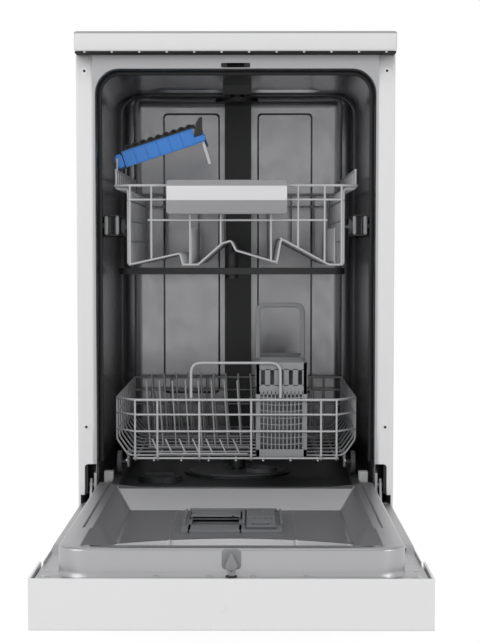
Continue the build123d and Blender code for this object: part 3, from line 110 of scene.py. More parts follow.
# Painted shade: a dead black strip under the worktop, so the overhang's underside reads as a shadow line.
underside_shade_strip = grained("underside_painted_shade_black", "#101011", 0.8, grit=1.5, depth=0.2)
# Polypropylene spacer, pale and slightly glossy.
pale_plastic = grained("pale_polypropylene", "#D2D2D2", 0.38, grit=1.0, depth=0.03)


def skin(rings, ends=(True, True)):
    """Quads over rings of points that each close on themselves, and a flat face over each end
    that ends asks for."""
    rings = np.asarray(rings, float)
    count, size = rings.shape[:2]
    i, j = np.meshgrid(np.arange(count - 1), np.arange(size), indexing="ij")
    k = (j + 1) % size
    quads = np.stack([i * size + j, i * size + k, (i + 1) * size + k, (i + 1) * size + j], -1)
    first = np.arange(size)[::-1]
    last = np.arange(size) + (count - 1) * size
    caps = [face.tolist() for face, closed in zip((first, last), ends) if closed]
    return rings.reshape(-1, 3), quads.reshape(-1, 4).tolist() + caps


def rounded_outline(u, v, corner, inset=0.0, steps=5):
    """A rectangle's outline with quarter circles at its corners, drawn in by inset."""
    turn = np.linspace(0, np.pi / 2, steps + 1)[None, :] + np.arange(4)[:, None] * np.pi / 2
    centre_u = np.array([u[1] - corner, u[0] + corner, u[0] + corner, u[1] - corner])[:, None]
    centre_v = np.array([v[1] - corner, v[1] - corner, v[0] + corner, v[0] + corner])[:, None]
    reach = corner - inset
    return np.stack([(centre_u + reach * np.cos(turn)).ravel(),
                     (centre_v + reach * np.sin(turn)).ravel()], -1)


ACROSS = {"X": (1, 2, 0), "Y": (0, 2, 1), "Z": (0, 1, 2)}


def slab(x, y, z, axis="Z", corner=3.0, edge=1.0, steps=5):
    """A box rounded two ways: rounded outlines across the axis, drawn in along a quarter circle
    where they near either end, so that its edges are round too."""
    low_high = (x, y, z)
    a, b, c = ACROSS[axis]
    turn = np.linspace(0, np.pi / 2, 4)
    inset = np.concatenate([edge * (1 - np.sin(turn)), edge * (1 - np.cos(turn))])
    along = np.concatenate([low_high[c][0] + edge * (1 - np.cos(turn)),
                            low_high[c][1] - edge * (1 - np.sin(turn))])
    rings = np.zeros((8, 4 * (steps + 1), 3))
    for row in range(8):
        rings[row][:, [a, b]] = rounded_outline(low_high[a], low_high[b], corner, inset[row], steps)
        rings[row][:, c] = along[row]
    return skin(rings)


def solid_piece(name, body, finish, shapes, replaces=(), sharp=40.0):
    """One object from several closed shapes, moved into the frame and riding on its body."""
    points, faces, start = [], [], 0
    for shape_points, shape_faces in shapes:
        points.append(shape_points)
        faces += [[corner + start for corner in face] for face in shape_faces]
        start += len(shape_points)
    placed = np.concatenate(points) * MM + (0, FRONT, 0)
    mesh = bpy.data.meshes.new(name)
    mesh.from_pydata(placed.tolist(), [], faces)
    outward(mesh)
    mesh.polygons.foreach_set("use_smooth", [True] * len(mesh.polygons))
    mesh.set_sharp_from_angle(angle=np.radians(sharp))
    mesh.materials.append(finish)
    made = bpy.data.objects.new(name, mesh)
    bpy.context.scene.collection.objects.link(made)
    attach(made, body)
    if replaces:
        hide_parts(*replaces)
    return made


def outward(mesh):
    """Turns the faces of every closed shape in the mesh to point out of it."""
    shell = bmesh.new()
    shell.from_mesh(mesh)
    bmesh.ops.recalc_face_normals(shell, faces=shell.faces)
    shell.to_mesh(mesh)
    shell.free()


worktop = solid_piece("worktop_slab", "cabinet", laminate,
                      [slab(WORKTOP_X, WORKTOP_Y, WORKTOP_Z, "Z", WORKTOP_CORNER, WORKTOP_EDGE)],
                      replaces=["worktop"])
# The laminate's rounded top edge is painted a greyer tone: painted shade for the line it shows where it turns
# away from the light.
worktop_edge_shade_laminate = grained("worktop_edge_painted_shade", "#A6A6A7", 0.4, grit=1.2, depth=0.05, tint=0.03)


def refinish(piece, finish, chosen):
    """Gives a second finish to the faces whose centre and normal chosen() picks, in mm."""
    piece.data.materials.append(finish)
    for face in piece.data.polygons:
        centre = np.array(face.center) / MM - (0, FRONT / MM, 0)
        if chosen(centre, face.normal):
            face.material_index = len(piece.data.materials) - 1


refinish(worktop, worktop_edge_shade_laminate, lambda centre, normal: centre[2] > WORKTOP_Z[1] - 4 and normal[2] < 0.98)


def drawn_in(span, inset):
    """A span made shorter by inset at both its ends."""
    return span[0] + inset, span[1] - inset


def about(middle, half):
    """The span that reaches half to either side of a middle."""
    return middle - half, middle + half


# A black strip under the whole worktop: painted shade for its overhang's underside.
solid_piece("worktop_underside_shade", "cabinet", underside_shade_strip,
            [slab(drawn_in(WORKTOP_X, UNDERSIDE_SHADE_INSET), drawn_in(WORKTOP_Y, UNDERSIDE_SHADE_INSET), UNDERSIDE_SHADE_Z, "Z", 4, 0.4)])
spacers = [slab(about(x, SPACER_WIDE / 2), (WORKTOP_Y[0] + 0.6, WORKTOP_Y[0] + 4), SPACER_Z, "Z", 0.6, 0.3, 2)
           for x in np.arange(-209, 210, SPACER_PITCH)]
spacers += [slab(about(x, 1.6), about(y, SPACER_WIDE / 2), SPACER_Z, "Z", 0.6, 0.3, 2)
            for y in np.arange(WORKTOP_Y[0] + 40, WORKTOP_Y[1] - 20, SPACER_PITCH)
            for x in drawn_in(WORKTOP_X, 2.2)]
solid_piece("worktop_spacers", "cabinet", pale_plastic, spacers)

# Side panels: each is one bent sheet of painted steel, 1 mm thick, with a rounded bend at the
# front and a flat return beside the tub's mouth, cut away at its foot for the hinge.
PANEL_HALF, PANEL_BACK, PANEL_SHEET, PANEL_BEND = 224.0, 540.0, 1.0, 2.5
PANEL_FOOT, RETURN_FOOT, SLOT_TOP, PANEL_TOP = 18.0, 195.0, 239.0, 815.0
RETURN_INNER, SLOT_OUTER, SLOT_CORNER = 200.5, 214.5, 5.0
# Powder coat on steel: a bright, nearly smooth white with a faint orange peel.
white_paint = grained("white_powder_coat", "#EBEBEC", 0.33, grit=2.2, depth=0.04, tint=0.02)


def bent(points, radius, steps=5):
    """A line through points whose corners are rounded: each corner is a quadratic curve between
    the two places where a circle of that radius would touch the runs."""
    line = np.asarray(points, float)
    corner = line[1:-1]
    back, ahead = line[:-2] - corner, line[2:] - corner
    long_back = np.linalg.norm(back, axis=1, keepdims=True)
    long_ahead = np.linalg.norm(ahead, axis=1, keepdims=True)
    back, ahead = back / long_back, ahead / long_ahead
    turn = np.pi - np.arccos(np.clip((back * ahead).sum(1, keepdims=True), -1, 1))
    cut = np.minimum(radius * np.tan(turn / 2), 0.45 * np.minimum(long_back, long_ahead))
    t = np.linspace(0, 1, steps)[None, :, None]
    arcs = (corner[:, None] + (back * cut)[:, None] * (1 - t) ** 2 + (ahead * cut)[:, None] * t ** 2)
    return np.concatenate([line[:1], arcs.reshape(-1, line.shape[1]), line[-1:]])


def open_grid(points):
    """Quads over a grid of points that stays open at its edges."""
    rows, cols = points.shape[:2]
    i, j = np.meshgrid(np.arange(rows - 1), np.arange(cols - 1), indexing="ij")
    quads = np.stack([i * cols + j, i * cols + j + 1, (i + 1) * cols + j + 1, (i + 1) * cols + j], -1)
    return points.reshape(-1, 3), quads.reshape(-1, 4).tolist()


def facing(piece, place):
    """Turns an open sheet over if, weighed by area, its faces look away from a place."""
    mesh = piece.data
    centre, normal = np.zeros((2, len(mesh.polygons) * 3))
    area = np.zeros(len(mesh.polygons))
    mesh.polygons.foreach_get("center", centre)
    mesh.polygons.foreach_get("normal", normal)
    mesh.polygons.foreach_get("area", area)
    toward = np.asarray(place) * MM + (0, FRONT, 0) - centre.reshape(-1, 3)
    if ((normal.reshape(-1, 3) * toward).sum(1) @ area) < 0:
        mesh.flip_normals()
    return piece


def walled(piece, thick):
    """Gives an open sheet its wall, on the side away from its faces' normals."""
    wall = piece.modifiers.new("wall", "SOLIDIFY")
    wall.thickness, wall.offset = thick * MM, -1.0
    return piece


def notch_edge(z):
    """The return's free edge by height: beside the mouth, stepped out at the hinge slot with a
    rounded corner, and none at all below the slot."""
    down = np.clip((z - SLOT_TOP + SLOT_CORNER) / SLOT_CORNER, 0, 1)
    slot = SLOT_OUTER - SLOT_CORNER * (1 - np.sqrt(1 - down ** 2))
    return np.where(z > SLOT_TOP, RETURN_INNER, np.where(z > RETURN_FOOT, slot, PANEL_HALF - PANEL_BEND - 1))


turn = np.linspace(0, np.pi / 2, 6)
panel_z = np.concatenate([np.linspace(low, high, count) for low, high, count in (
    (PANEL_FOOT, RETURN_FOOT - 0.05, 6), (RETURN_FOOT + 0.05, 230, 5),
    (SLOT_TOP - SLOT_CORNER, SLOT_TOP, 8), (SLOT_TOP + 0.05, PANEL_TOP, 12))])
bend_x = PANEL_HALF - PANEL_BEND + PANEL_BEND * np.sin(turn)
bend_y = PANEL_BEND * (1 - np.cos(turn))
for side, label in ((-1, "left"), (1, "right")):
    free = notch_edge(panel_z)[:, None]
    flat = free + (bend_x[0] - free) * np.linspace(0, 1, 6)[None, :-1]
    rows = len(panel_z)
    sheet_x = np.concatenate([flat, np.tile(bend_x, (rows, 1)), np.full((rows, 12), PANEL_HALF)], 1) * side
    back_run = np.linspace(PANEL_BEND + 2, PANEL_BACK, 12)
    sheet_y = np.concatenate([np.zeros_like(flat), np.tile(bend_y, (rows, 1)),
                              np.tile(back_run, (rows, 1))], 1)
    sheet = np.stack([sheet_x, sheet_y, np.broadcast_to(panel_z[:, None], sheet_x.shape)], -1)
    panel = solid_piece(f"side_sheet_{label}", "cabinet", white_paint, [open_grid(sheet)],
                        replaces=[f"side_panel_{label}"], sharp=30)
    walled(facing(panel, (side * 5000, -3000, 400)), PANEL_SHEET)

# Rear panel: thin galvanised sheet, stiffened by pressed ribs and screwed to the side panels, with
# a moulded grommet where the mains lead would leave it.
REAR_FACE, REAR_RIB = 539.0, 2.0
REAR_X, REAR_Z = (-224.0, 224.0), (90.0, 815.0)
RIB_X, RIB_HALF = np.array([-150.0, -50.0, 50.0, 150.0]), 9.0


def galvanised(name):
    """Hot-dipped zinc on steel: dull grey crystals about 15 mm across, each of its own tone."""
    made, tree, shader, place = surface(name, "#9C9EA0", 0.42, 1.0)
    crystals = add(tree, "TexVoronoi", {"Vector": place, "Scale": 1000 / 15})
    tone = add(tree, "MapRange", {"Value": crystals.outputs["Color"], "To Min": 0.34, "To Max": 0.5})
    tree.links.new(tone.outputs["Result"], shader.inputs["Roughness"])
    mix = add(tree, "Mix", {"Factor": crystals.outputs["Color"]}, data_type="RGBA")
    mix.inputs["A"].default_value = linear("#8E9092")
    mix.inputs["B"].default_value = linear("#A9ABAD")
    tree.links.new(mix.outputs["Result"], shader.inputs["Base Color"])
    return made


zinc = galvanised("galvanised_sheet")


def pressed_sheet(face, back):
    """A closed sheet between two grids of points, face and back, of the same size."""
    return skin(np.concatenate([face, back[:, ::-1]], axis=1))


rear_x = np.unique(np.concatenate([np.linspace(*REAR_X, 33), *(x + np.linspace(-12, 12, 13) for x in RIB_X)]))
rear_z = np.unique(np.concatenate([np.linspace(*REAR_Z, 30), np.linspace(120, 150, 13),
                                   np.linspace(755, 785, 13)]))
grid_x, grid_z = np.meshgrid(rear_x, rear_z, indexing="ij")
from_rib = np.abs(grid_x[..., None] - RIB_X).min(-1)
from_end = np.maximum(np.maximum(135 - grid_z, grid_z - 770), 0)
rib = np.clip(1 - np.hypot(from_rib, from_end) / RIB_HALF, 0, 1)
rib_height = REAR_RIB * np.sin(rib * np.pi / 2) ** 2
rear_face = np.stack([grid_x, REAR_FACE + rib_height, grid_z], -1)
solid_piece("rear_sheet", "cabinet", zinc, [pressed_sheet(rear_face, rear_face - (0, 1, 0))],
            replaces=["rear_panel"], sharp=60)
# Glass-filled polyamide: a hard, matte black grommet.
black_plastic = grained("black_glass_filled_nylon", "#161617", 0.5, grit=0.9, depth=0.06)


def finished(finish, *names):
    """Gives CAD nodes one finish over their whole surface."""
    for name in names:
        nodes[name].data.materials[0] = finish


finished(black_plastic, "cable_gland")
SCREW_X = 212
rear_screws = [(sx * SCREW_X, z) for sx in (-1, 1) for z in (110, 300, 480, 660, 800)]


def turned(profile, centre, axis="Y", sides=24):
    """A turned shape: a profile of (radius, place along the axis), carried round it."""
    profile = np.asarray(profile, float)
    angle = np.linspace(0, 2 * np.pi, sides, endpoint=False)
    a, b, c = ACROSS[axis]
    rings = np.zeros((len(profile), sides, 3))
    rings[:, :, a] = centre[a] + profile[:, :1] * np.cos(angle)
    rings[:, :, b] = centre[b] + profile[:, :1] * np.sin(angle)
    rings[:, :, c] = centre[c] + profile[:, 1:]
    return skin(rings)


def screw_head(place, axis, out, radius=3.2, high=1.4):
    """A pan-head screw: a shallow dome with a dished socket in its middle."""
    profile = [(radius, 0), (radius, 0.3 * high), (0.86 * radius, 0.75 * high), (0.5 * radius, high),
               (0.34 * radius, high), (0.26 * radius, 0.45 * high), (0.02 * radius, 0.4 * high)]
    return turned([(r, out * h) for r, h in profile], place, axis, 16)


# Zinc-plated screw steel, brighter than the sheet it holds.
screw_steel = surface("plated_screw_steel", "#B9BABC", 0.28, 1.0)[0]
solid_piece("rear_screws", "cabinet", screw_steel,
            [screw_head((x, REAR_FACE, z), "Y", 1) for x, z in rear_screws])
# The front screws are painted with the sheet; a black disc in each head is painted shade that stands for its
# deep socket.
screw_places = [(sx * SCREW_X, 0.1, z) for sx in (-1, 1) for z in (292, 793)]
solid_piece("cabinet_screw_heads", "cabinet", white_paint,
            [turned([(4.6, 0), (4.6, -0.5), (4.0, -0.9), (2.4, -0.6), (0.1, -0.6)], place, "Y", 24)
             for place in screw_places], replaces=["cabinet_screws"])
solid_piece("cabinet_screw_socket_shade", "cabinet", black_plastic,
            [turned([(1.9, -0.4), (1.9, -0.95), (1.5, -1.0), (0.1, -0.7)], place, "Y", 16)
             for place in screw_places])

# Base: a black moulded tray that carries the cabinet, a white kick plate and four turned feet
# on threaded stems.
finished(black_plastic, "base_tray")
solid_piece("kick_sheet", "cabinet", white_paint,
            [slab((-223, 223), (-25, -23), (15, 103), "Y", 2, 0.8)], replaces=["kick_plate"])
FOOT_PLACES = [(sx * 194, y) for sx in (-1, 1) for y in (45, 496)]
foot_profile = [(18, 0), (18, 5), (16.5, 7.5), (9, 8), (9, 13), (5, 13), (5, 20)]
grooves = [(5.0 - 0.5 * (i % 2), 13.5 + 0.75 * i) for i in range(10)]
solid_piece("foot_pads", "cabinet", black_plastic,
            [turned(foot_profile[:5] + grooves, (x, y, 0), "Z", 28) for x, y in FOOT_PLACES],
            replaces=["levelling_feet"])


# Tub: a polished stainless box, folded from one wrapper with a welded back. Its back corners and
# its mouth are rolled round, a bead crosses the ceiling, and two panels are pressed into the back.
TUB_HALF, TUB_TOP, TUB_FOOT, TUB_CORNER = 197.5, 796.4, 196.0, 34.0
TUB_MOUTH, TUB_BACK, TUB_SHEET = 1.2, 500.0, 0.8
SIDE_ROUND, TOP_ROUND, CROWN, CROWN_WIDE, CEILING_RISE = 34.0, 12.0, 2.2, 64.0, 6.0
BEAD_Y, BEAD_HALF, BEAD_DROP, BEAD_LONG = 341.0, 124.0, 4.3, 26.0
PRESSED_X, PRESSED_Z = ((-125.7, -30.7), (32.5, 124.8)), (300.0, 771.0)
PRESS_CORNER, PRESS_SLOPE, PRESS_DEPTH, BACK_CORNER = 8.0, 2.4, 1.6, 12.0


def rolled_steel(name, colour, roughness, run, ripple):
    """Stainless sheet: fine rolling lines along run, and a slow ripple that bends what it mirrors."""
    made, tree, shader, place = surface(name, colour, roughness, 0.85)
    stretch = add(tree, "Mapping", {"Vector": place, "Scale": run})
    lines = add(tree, "TexNoise", {"Vector": stretch.outputs["Vector"], "Scale": 1.0, "Detail": 3.0})
    slow = add(tree, "TexNoise", {"Vector": place, "Scale": 11.0, "Detail": 1.5})
    sheen = add(tree, "MapRange", {"Value": lines.outputs["Fac"], "From Min": 0.3, "From Max": 0.7,
                                   "To Min": roughness - 0.04, "To Max": roughness + 0.05})
    fine = add(tree, "Bump", {"Height": lines.outputs["Fac"], "Distance": 0.02 * MM, "Strength": 0.5})
    bump = add(tree, "Bump", {"Height": slow.outputs["Fac"], "Distance": ripple * MM, "Strength": 1.0,
                              "Normal": fine.outputs["Normal"]})
    tree.links.new(sheen.outputs["Result"], shader.inputs["Roughness"])
    tree.links.new(bump.outputs["Normal"], shader.inputs["Normal"])
    return made


# Bright-annealed stainless: a soft mirror, in which the racks show as broken streaks.
tub_steel = rolled_steel("bright_stainless", "#9C9C9E", 0.22, (30, 1200, 30), 0.1)
# Brushed stainless of the frame and the door's liner, which spreads the light along the grain.
brushed_steel = rolled_steel("brushed_stainless", "#B0B0B2", 0.36, (25, 900, 900), 0.05)


def tub_arch(half, top, corner, count=14):
    """An upside-down U of points (x, z): up one wall, round the two top corners, down the other."""
    turn = np.linspace(0, np.pi / 2, 9)
    wall = np.linspace(TUB_FOOT, top - corner, count)
    right = np.concatenate([np.stack([np.full(count, half), wall], -1)[:-1],
                            np.stack([half - corner + corner * np.cos(turn),
                                      top - corner + corner * np.sin(turn)], -1)])
    ceiling = np.linspace(half - corner, corner - half, 25)[1:-1]
    flat = np.stack([ceiling, np.full(len(ceiling), top)], -1)
    return np.concatenate([right, flat, (right * (-1, 1))[::-1]])


turn = np.linspace(0, np.pi / 2, 15)
tub_rows = np.concatenate([np.linspace(TUB_MOUTH, BEAD_Y - 8, 9),
                           BEAD_Y + np.array([-1.5, -0.5, 0.5, 6, 12, 18]),
                           np.linspace(BEAD_Y + BEAD_LONG, TUB_BACK - SIDE_ROUND, 5)[:-1],
                           TUB_BACK - SIDE_ROUND + SIDE_ROUND * np.sin(turn)])
side_inset = np.concatenate([np.zeros(len(tub_rows) - len(turn)), SIDE_ROUND * (1 - np.cos(turn))])
near_back = np.clip((tub_rows - TUB_BACK + TOP_ROUND) / TOP_ROUND, 0, 1)
top_line = (TUB_TOP + CEILING_RISE * np.clip((tub_rows - BEAD_Y) / (TUB_BACK - BEAD_Y), 0, 1)
            - TOP_ROUND * (1 - np.sqrt(1 - near_back ** 2)))
tub_shell = np.zeros((len(tub_rows), len(tub_arch(TUB_HALF, TUB_TOP, TUB_CORNER)), 3))
for row, (y, inset, top) in enumerate(zip(tub_rows, side_inset, top_line)):
    arch = tub_arch(TUB_HALF - inset, top, max(TUB_CORNER - inset, 12.0))
    tub_shell[row][:, [0, 2]] = arch
    tub_shell[row][:, 1] = y
x, y, z = (tub_shell[..., k] for k in range(3))
bead = np.clip((y - BEAD_Y + 0.5), 0, 1) * np.clip(1 - (y - BEAD_Y) / BEAD_LONG, 0, 1)
tub_shell[..., 2] -= BEAD_DROP * bead * (np.abs(x) < BEAD_HALF) * (z > TUB_TOP - 1)
wrapper = solid_piece("tub_shell", "cabinet", tub_steel, [open_grid(tub_shell)],
                      replaces=["tub_wrapper"], sharp=50)
TUB_MIDDLE = (0, 250, 500)
walled(facing(wrapper, TUB_MIDDLE), TUB_SHEET)
back_half, back_top = TUB_HALF - 21.5, TUB_TOP + CEILING_RISE - 4.7
by_edge = np.linspace(-8.2, 8.2, 21)
press_x = np.unique(np.concatenate([np.linspace(-back_half, back_half, 24),
                                    *(edge + by_edge for pair in PRESSED_X for edge in pair)]))
press_z = np.unique(np.concatenate([np.linspace(TUB_FOOT, back_top, 24),
                                    *(edge + by_edge for edge in PRESSED_Z)]))
grid_x, grid_z = np.meshgrid(press_x, press_z, indexing="ij")


def rounded_depth(u, v, span_u, span_v, corner, slope):
    """0 outside a rounded rectangle and 1 inside it, eased across its slope: the signed distance
    to the outline, divided by the slope and smoothed."""
    half_u, half_v = (span_u[1] - span_u[0]) / 2, (span_v[1] - span_v[0]) / 2
    off_u = np.abs(u - np.mean(span_u)) - half_u + corner
    off_v = np.abs(v - np.mean(span_v)) - half_v + corner
    outside = np.hypot(np.maximum(off_u, 0), np.maximum(off_v, 0)) + np.minimum(np.maximum(off_u, off_v), 0)
    t = np.clip((corner - outside) / slope, 0, 1)
    return t * t * (3 - 2 * t)


pressed = sum(rounded_depth(grid_x, grid_z, span, PRESSED_Z, PRESS_CORNER, PRESS_SLOPE) for span in PRESSED_X)
# Its top corners are drawn in to quarter circles, so that they stay behind the rolled shell.
past_x = np.abs(grid_x) - back_half + BACK_CORNER
past_z = grid_z - back_top + BACK_CORNER
reach = np.hypot(np.maximum(past_x, 0), np.maximum(past_z, 0))
pull = np.where(reach > BACK_CORNER, BACK_CORNER / np.maximum(reach, 1e-6), 1.0)
fit_x = np.sign(grid_x) * np.where(reach > BACK_CORNER, back_half - BACK_CORNER + past_x * pull,
                                   np.abs(grid_x))
fit_z = np.where(reach > BACK_CORNER, back_top - BACK_CORNER + past_z * pull, grid_z)
# The sheet is crowned: it comes forward a little as it nears the rolled corners.
crown = (np.clip((np.abs(fit_x) - back_half + CROWN_WIDE) / CROWN_WIDE, 0, None) ** 2
         + np.clip((fit_z - back_top + CROWN_WIDE) / CROWN_WIDE, 0, None) ** 2)
back_sheet = np.stack([fit_x, TUB_BACK - PRESS_DEPTH * pressed - CROWN * crown, fit_z], -1)
back_wall = solid_piece("tub_back_sheet", "cabinet", tub_steel, [open_grid(back_sheet)],
                        replaces=["tub_back"], sharp=60)
walled(facing(back_wall, TUB_MIDDLE), TUB_SHEET)

# Front frame and tub floor: brushed steel pressed round the mouth and welded to the tub, and below
# it a dark moulded well, with the sump, the pumps and the valve under it.
for slot in nodes["front_frame"].material_slots:
    slot.material = brushed_steel
# Talc-filled polypropylene: a dark, half matt grey with a fine moulded grain.
dark_plastic = grained("dark_grey_polypropylene", "#37383A", 0.4, grit=1.0, depth=0.05)
finished(dark_plastic, "tub_floor", "lower_tracks", "sump", "salt_cap", "spray_feed_pipe")
finished(black_plastic, "circulation_pump", "drain_pump", "inlet_valve", "door_latch")

# Mouth seal: a black rubber bead pushed over the tub's edge, with a hollow lip that the door meets.
SEAL_HALF, SEAL_TOP, SEAL_WIDE, SEAL_FOOT = 197.4, 796.3, 8.8, 203.0
SEAL_FRONT, SEAL_BACK = 29.0, 39.0
# Extruded EPDM: a deep matt black that shows only a soft line of light along its lip.
rubber = grained("black_epdm_rubber", "#1B1B1C", 0.55, grit=0.7, depth=0.05)


def carried(profile, path, normal):
    """A closed profile of (side, up) carried along a path. Side lies along the normal, and up is
    square to it and to the path."""
    path = np.asarray(path, float)
    path = path[np.append(True, np.linalg.norm(np.diff(path, axis=0), axis=1) > 1e-4)]
    run = np.gradient(path, axis=0)
    run /= np.linalg.norm(run, axis=1, keepdims=True)
    side = np.broadcast_to(np.asarray(normal, float), path.shape)
    side = side - run * (side * run).sum(1, keepdims=True)
    side /= np.linalg.norm(side, axis=1, keepdims=True)
    up = np.cross(run, side)
    profile = np.asarray(profile, float)
    rings = (path[:, None] + side[:, None] * profile[None, :, :1] + up[:, None] * profile[None, :, 1:])
    return skin(rings)


seal_middle = (SEAL_FRONT + SEAL_BACK) / 2
arch = tub_arch(SEAL_HALF - SEAL_WIDE / 2, SEAL_TOP - SEAL_WIDE / 2 + 0.8, TUB_CORNER - SEAL_WIDE / 2)
arch = arch[arch[:, 1] > SEAL_FOOT]
seal_path = np.stack([arch[:, 0], np.full(len(arch), seal_middle), arch[:, 1]], -1)
turn = np.linspace(0, 2 * np.pi, 16, endpoint=False)
lip = np.stack([4.8 * np.cos(turn) * (1 - 0.12 * np.cos(2 * turn)),
                3.4 * np.sin(turn) + 0.6 * np.cos(2 * turn)], -1)
solid_piece("mouth_seal", "cabinet", rubber, [carried(lip, seal_path, (0, 1, 0))],
            replaces=["tub_gasket"], sharp=60)

# Water feed: a flat moulded duct clipped up the tub's back and along its ceiling, with a round
# sprinkler head under its end.
# Moulded polypropylene: near black, with a dull sheen down its flat face.
duct_plastic = grained("grey_duct_polypropylene", "#38393B", 0.4, grit=1.2, depth=0.05)
finished(duct_plastic, "rear_duct")
finished(black_plastic, "top_sprinkler")

# Door liner: one pressed sheet of brushed stainless. A flat edge runs round a raised rim, whose
# top carries the lower rack's wheels on two ledges, and the middle is dished to a level floor.
FLANGE_HALF, FLANGE_FRONT, FLANGE_HEEL, FLANGE_Z = 219.5, -579.0, -5.0, 184.0
RIM_HALF, RIM_FRONT, RIM_TOP, RIM_CORNER, RIM_ROUND = 195.0, -565.0, 213.8, 34.0, 3.6
LEDGE_DROP, LEDGE_HALF, LEDGE_INNER, LEDGE_START = 2.5, 178.0, 165.6, -415.0
HEEL_DROP, HEEL_LONG, BACK_DROP, BACK_START = 4.8, 10.0, 3.6, -44.0
DISH_HALF, DISH_FRONT, DISH_BACK = 169.0, -543.0, -27.0
FLOOR_HALF, FLOOR_FRONT, FLOOR_BACK, FLOOR_Z = 148.0, -470.0, -60.0, 181.0
DISH_CORNER, DISH_ROUND, SLOPE, LINER_SHEET = 3.0, 3.0, 25, 0.9
TROUGH_EDGE, TROUGH_BOW, TROUGH_DEEP, TROUGH_RAMP = -291.0, 42.0, 9.0, 13.0
BEAD_LINES, BEAD_HIGH = (-80.0, 78.0), 1.0
liner_y = np.concatenate([np.linspace(-450, -422, 4), np.linspace(-419, -412, 8), np.linspace(-406, -90, 18)])


def ease(t):
    """A smooth step from 0 to 1 as t goes from 0 to 1."""
    t = np.clip(t, 0, 1)
    return t * t * (3 - 2 * t)


def liner_ring(half, front, back, corner, back_corner):
    """A level ring of (x, y): up the right side, across the back, down the left and home, with
    quarter circles at its corners and the same places along the sides in every ring."""
    side = np.concatenate([[front + corner], liner_y, [back - back_corner]])
    turn = np.linspace(0, np.pi / 2, 9)[1:-1]
    right = np.stack([np.full(len(side), half), side], -1)
    across = np.concatenate([half - back_corner - np.array([0, 1.5, 3.0]),
                             np.linspace(half - back_corner - 9, 0, 6)[:-1]])
    back_run = np.stack([across, np.full(len(across), back)], -1)
    back_turn = np.stack([half - back_corner + back_corner * np.cos(turn),
                          back - back_corner + back_corner * np.sin(turn)], -1)
    front_turn = np.stack([half - corner + corner * np.sin(turn), front + corner - corner * np.cos(turn)], -1)
    front_run = np.stack([np.linspace(0, half - corner, 6)[1:], np.full(5, front)], -1)
    rest = np.concatenate([front_run, front_turn, right, back_turn, back_run])
    middle_back, middle_front = np.array([[0, back]]), np.array([[0, front]])
    return np.concatenate([rest, middle_back, (rest * (-1, 1))[::-1], middle_front])


def trough_edge(x):
    """Where the floor drops to its trough: a shallow arc, nearest the front at its ends."""
    return TROUGH_EDGE - TROUGH_BOW * (x / FLOOR_HALF) ** 2


def trough(x, y):
    """How far the floor lies below its level part at a place, down a rounded ramp."""
    return TROUGH_DEEP * ease((trough_edge(x) - y) / TROUGH_RAMP)


edge_turn = np.linspace(0, np.pi / 2, 6)
foot_turn = np.linspace(0, np.pi / 2, 4)
wall_steps = [(FLANGE_HALF, 183.1, 6, 4), (FLANGE_HALF - 0.3, FLANGE_Z, 6, 4)]
wall_steps += [(RIM_HALF + 3 * (1 - s), FLANGE_Z + 3 * (1 - c), RIM_CORNER + 3, 3)
               for s, c in zip(np.sin(foot_turn), np.cos(foot_turn))]
wall_steps += [(RIM_HALF - RIM_ROUND * (1 - c), RIM_TOP - RIM_ROUND * (1 - s),
                RIM_CORNER - RIM_ROUND * (1 - c), 3) for s, c in zip(np.sin(edge_turn), np.cos(edge_turn))]


def levelled(ring, z):
    """A flat ring of (x, y) at height z."""
    return np.column_stack([ring, np.full(len(ring), z)])


liner_rings = []
for half, z, corner, back_corner in wall_steps:
    out = half - RIM_HALF
    back = FLANGE_HEEL if half > RIM_HALF + 3 else min(out, 0)
    front = FLANGE_FRONT if half > RIM_HALF + 3 else RIM_FRONT - out
    liner_rings.append(levelled(liner_ring(half, front, back, corner, back_corner), z))
for half, back in ((LEDGE_HALF + 1.2, -0.6), (LEDGE_HALF, -0.8), (LEDGE_HALF - 0.4, -8.8),
                   (LEDGE_HALF - 0.6, -11.4)):
    ring = liner_ring(half, RIM_FRONT + min(RIM_HALF - half, 15), back, 20, 2)
    liner_rings.append(levelled(ring, RIM_TOP))
dish_line = bent([(-2, RIM_TOP), (0, RIM_TOP), (SLOPE, FLOOR_Z), (SLOPE + 3, FLOOR_Z)], DISH_ROUND, 6)
for along, z in dish_line:
    s = along / SLOPE
    half, front, back = (np.array([DISH_HALF, DISH_FRONT, DISH_BACK]) * (1 - s)
                         + np.array([FLOOR_HALF, FLOOR_FRONT, FLOOR_BACK]) * s)
    liner_rings.append(levelled(liner_ring(half, front, min(back, -1.0), DISH_CORNER, DISH_CORNER), z))
liner_rings = np.array(liner_rings)
x, y, z = np.moveaxis(liner_rings, -1, 0)
low = (FLOOR_Z + 6 - z) / 6
z = z - np.clip(low, 0, 1) * trough(x, y)
inside = ease((LEDGE_HALF + 0.8 - np.abs(x)) / 1.2)
limit = (RIM_TOP - LEDGE_DROP * ease((y - LEDGE_START + 2) / 4) * inside
         - HEEL_DROP * ease((y + HEEL_LONG + 1) / 2) * inside
         - BACK_DROP * (np.abs(x) < LEDGE_INNER) * ease((y - BACK_START) / 4))
liner_rings[..., 2] = np.minimum(z, limit)
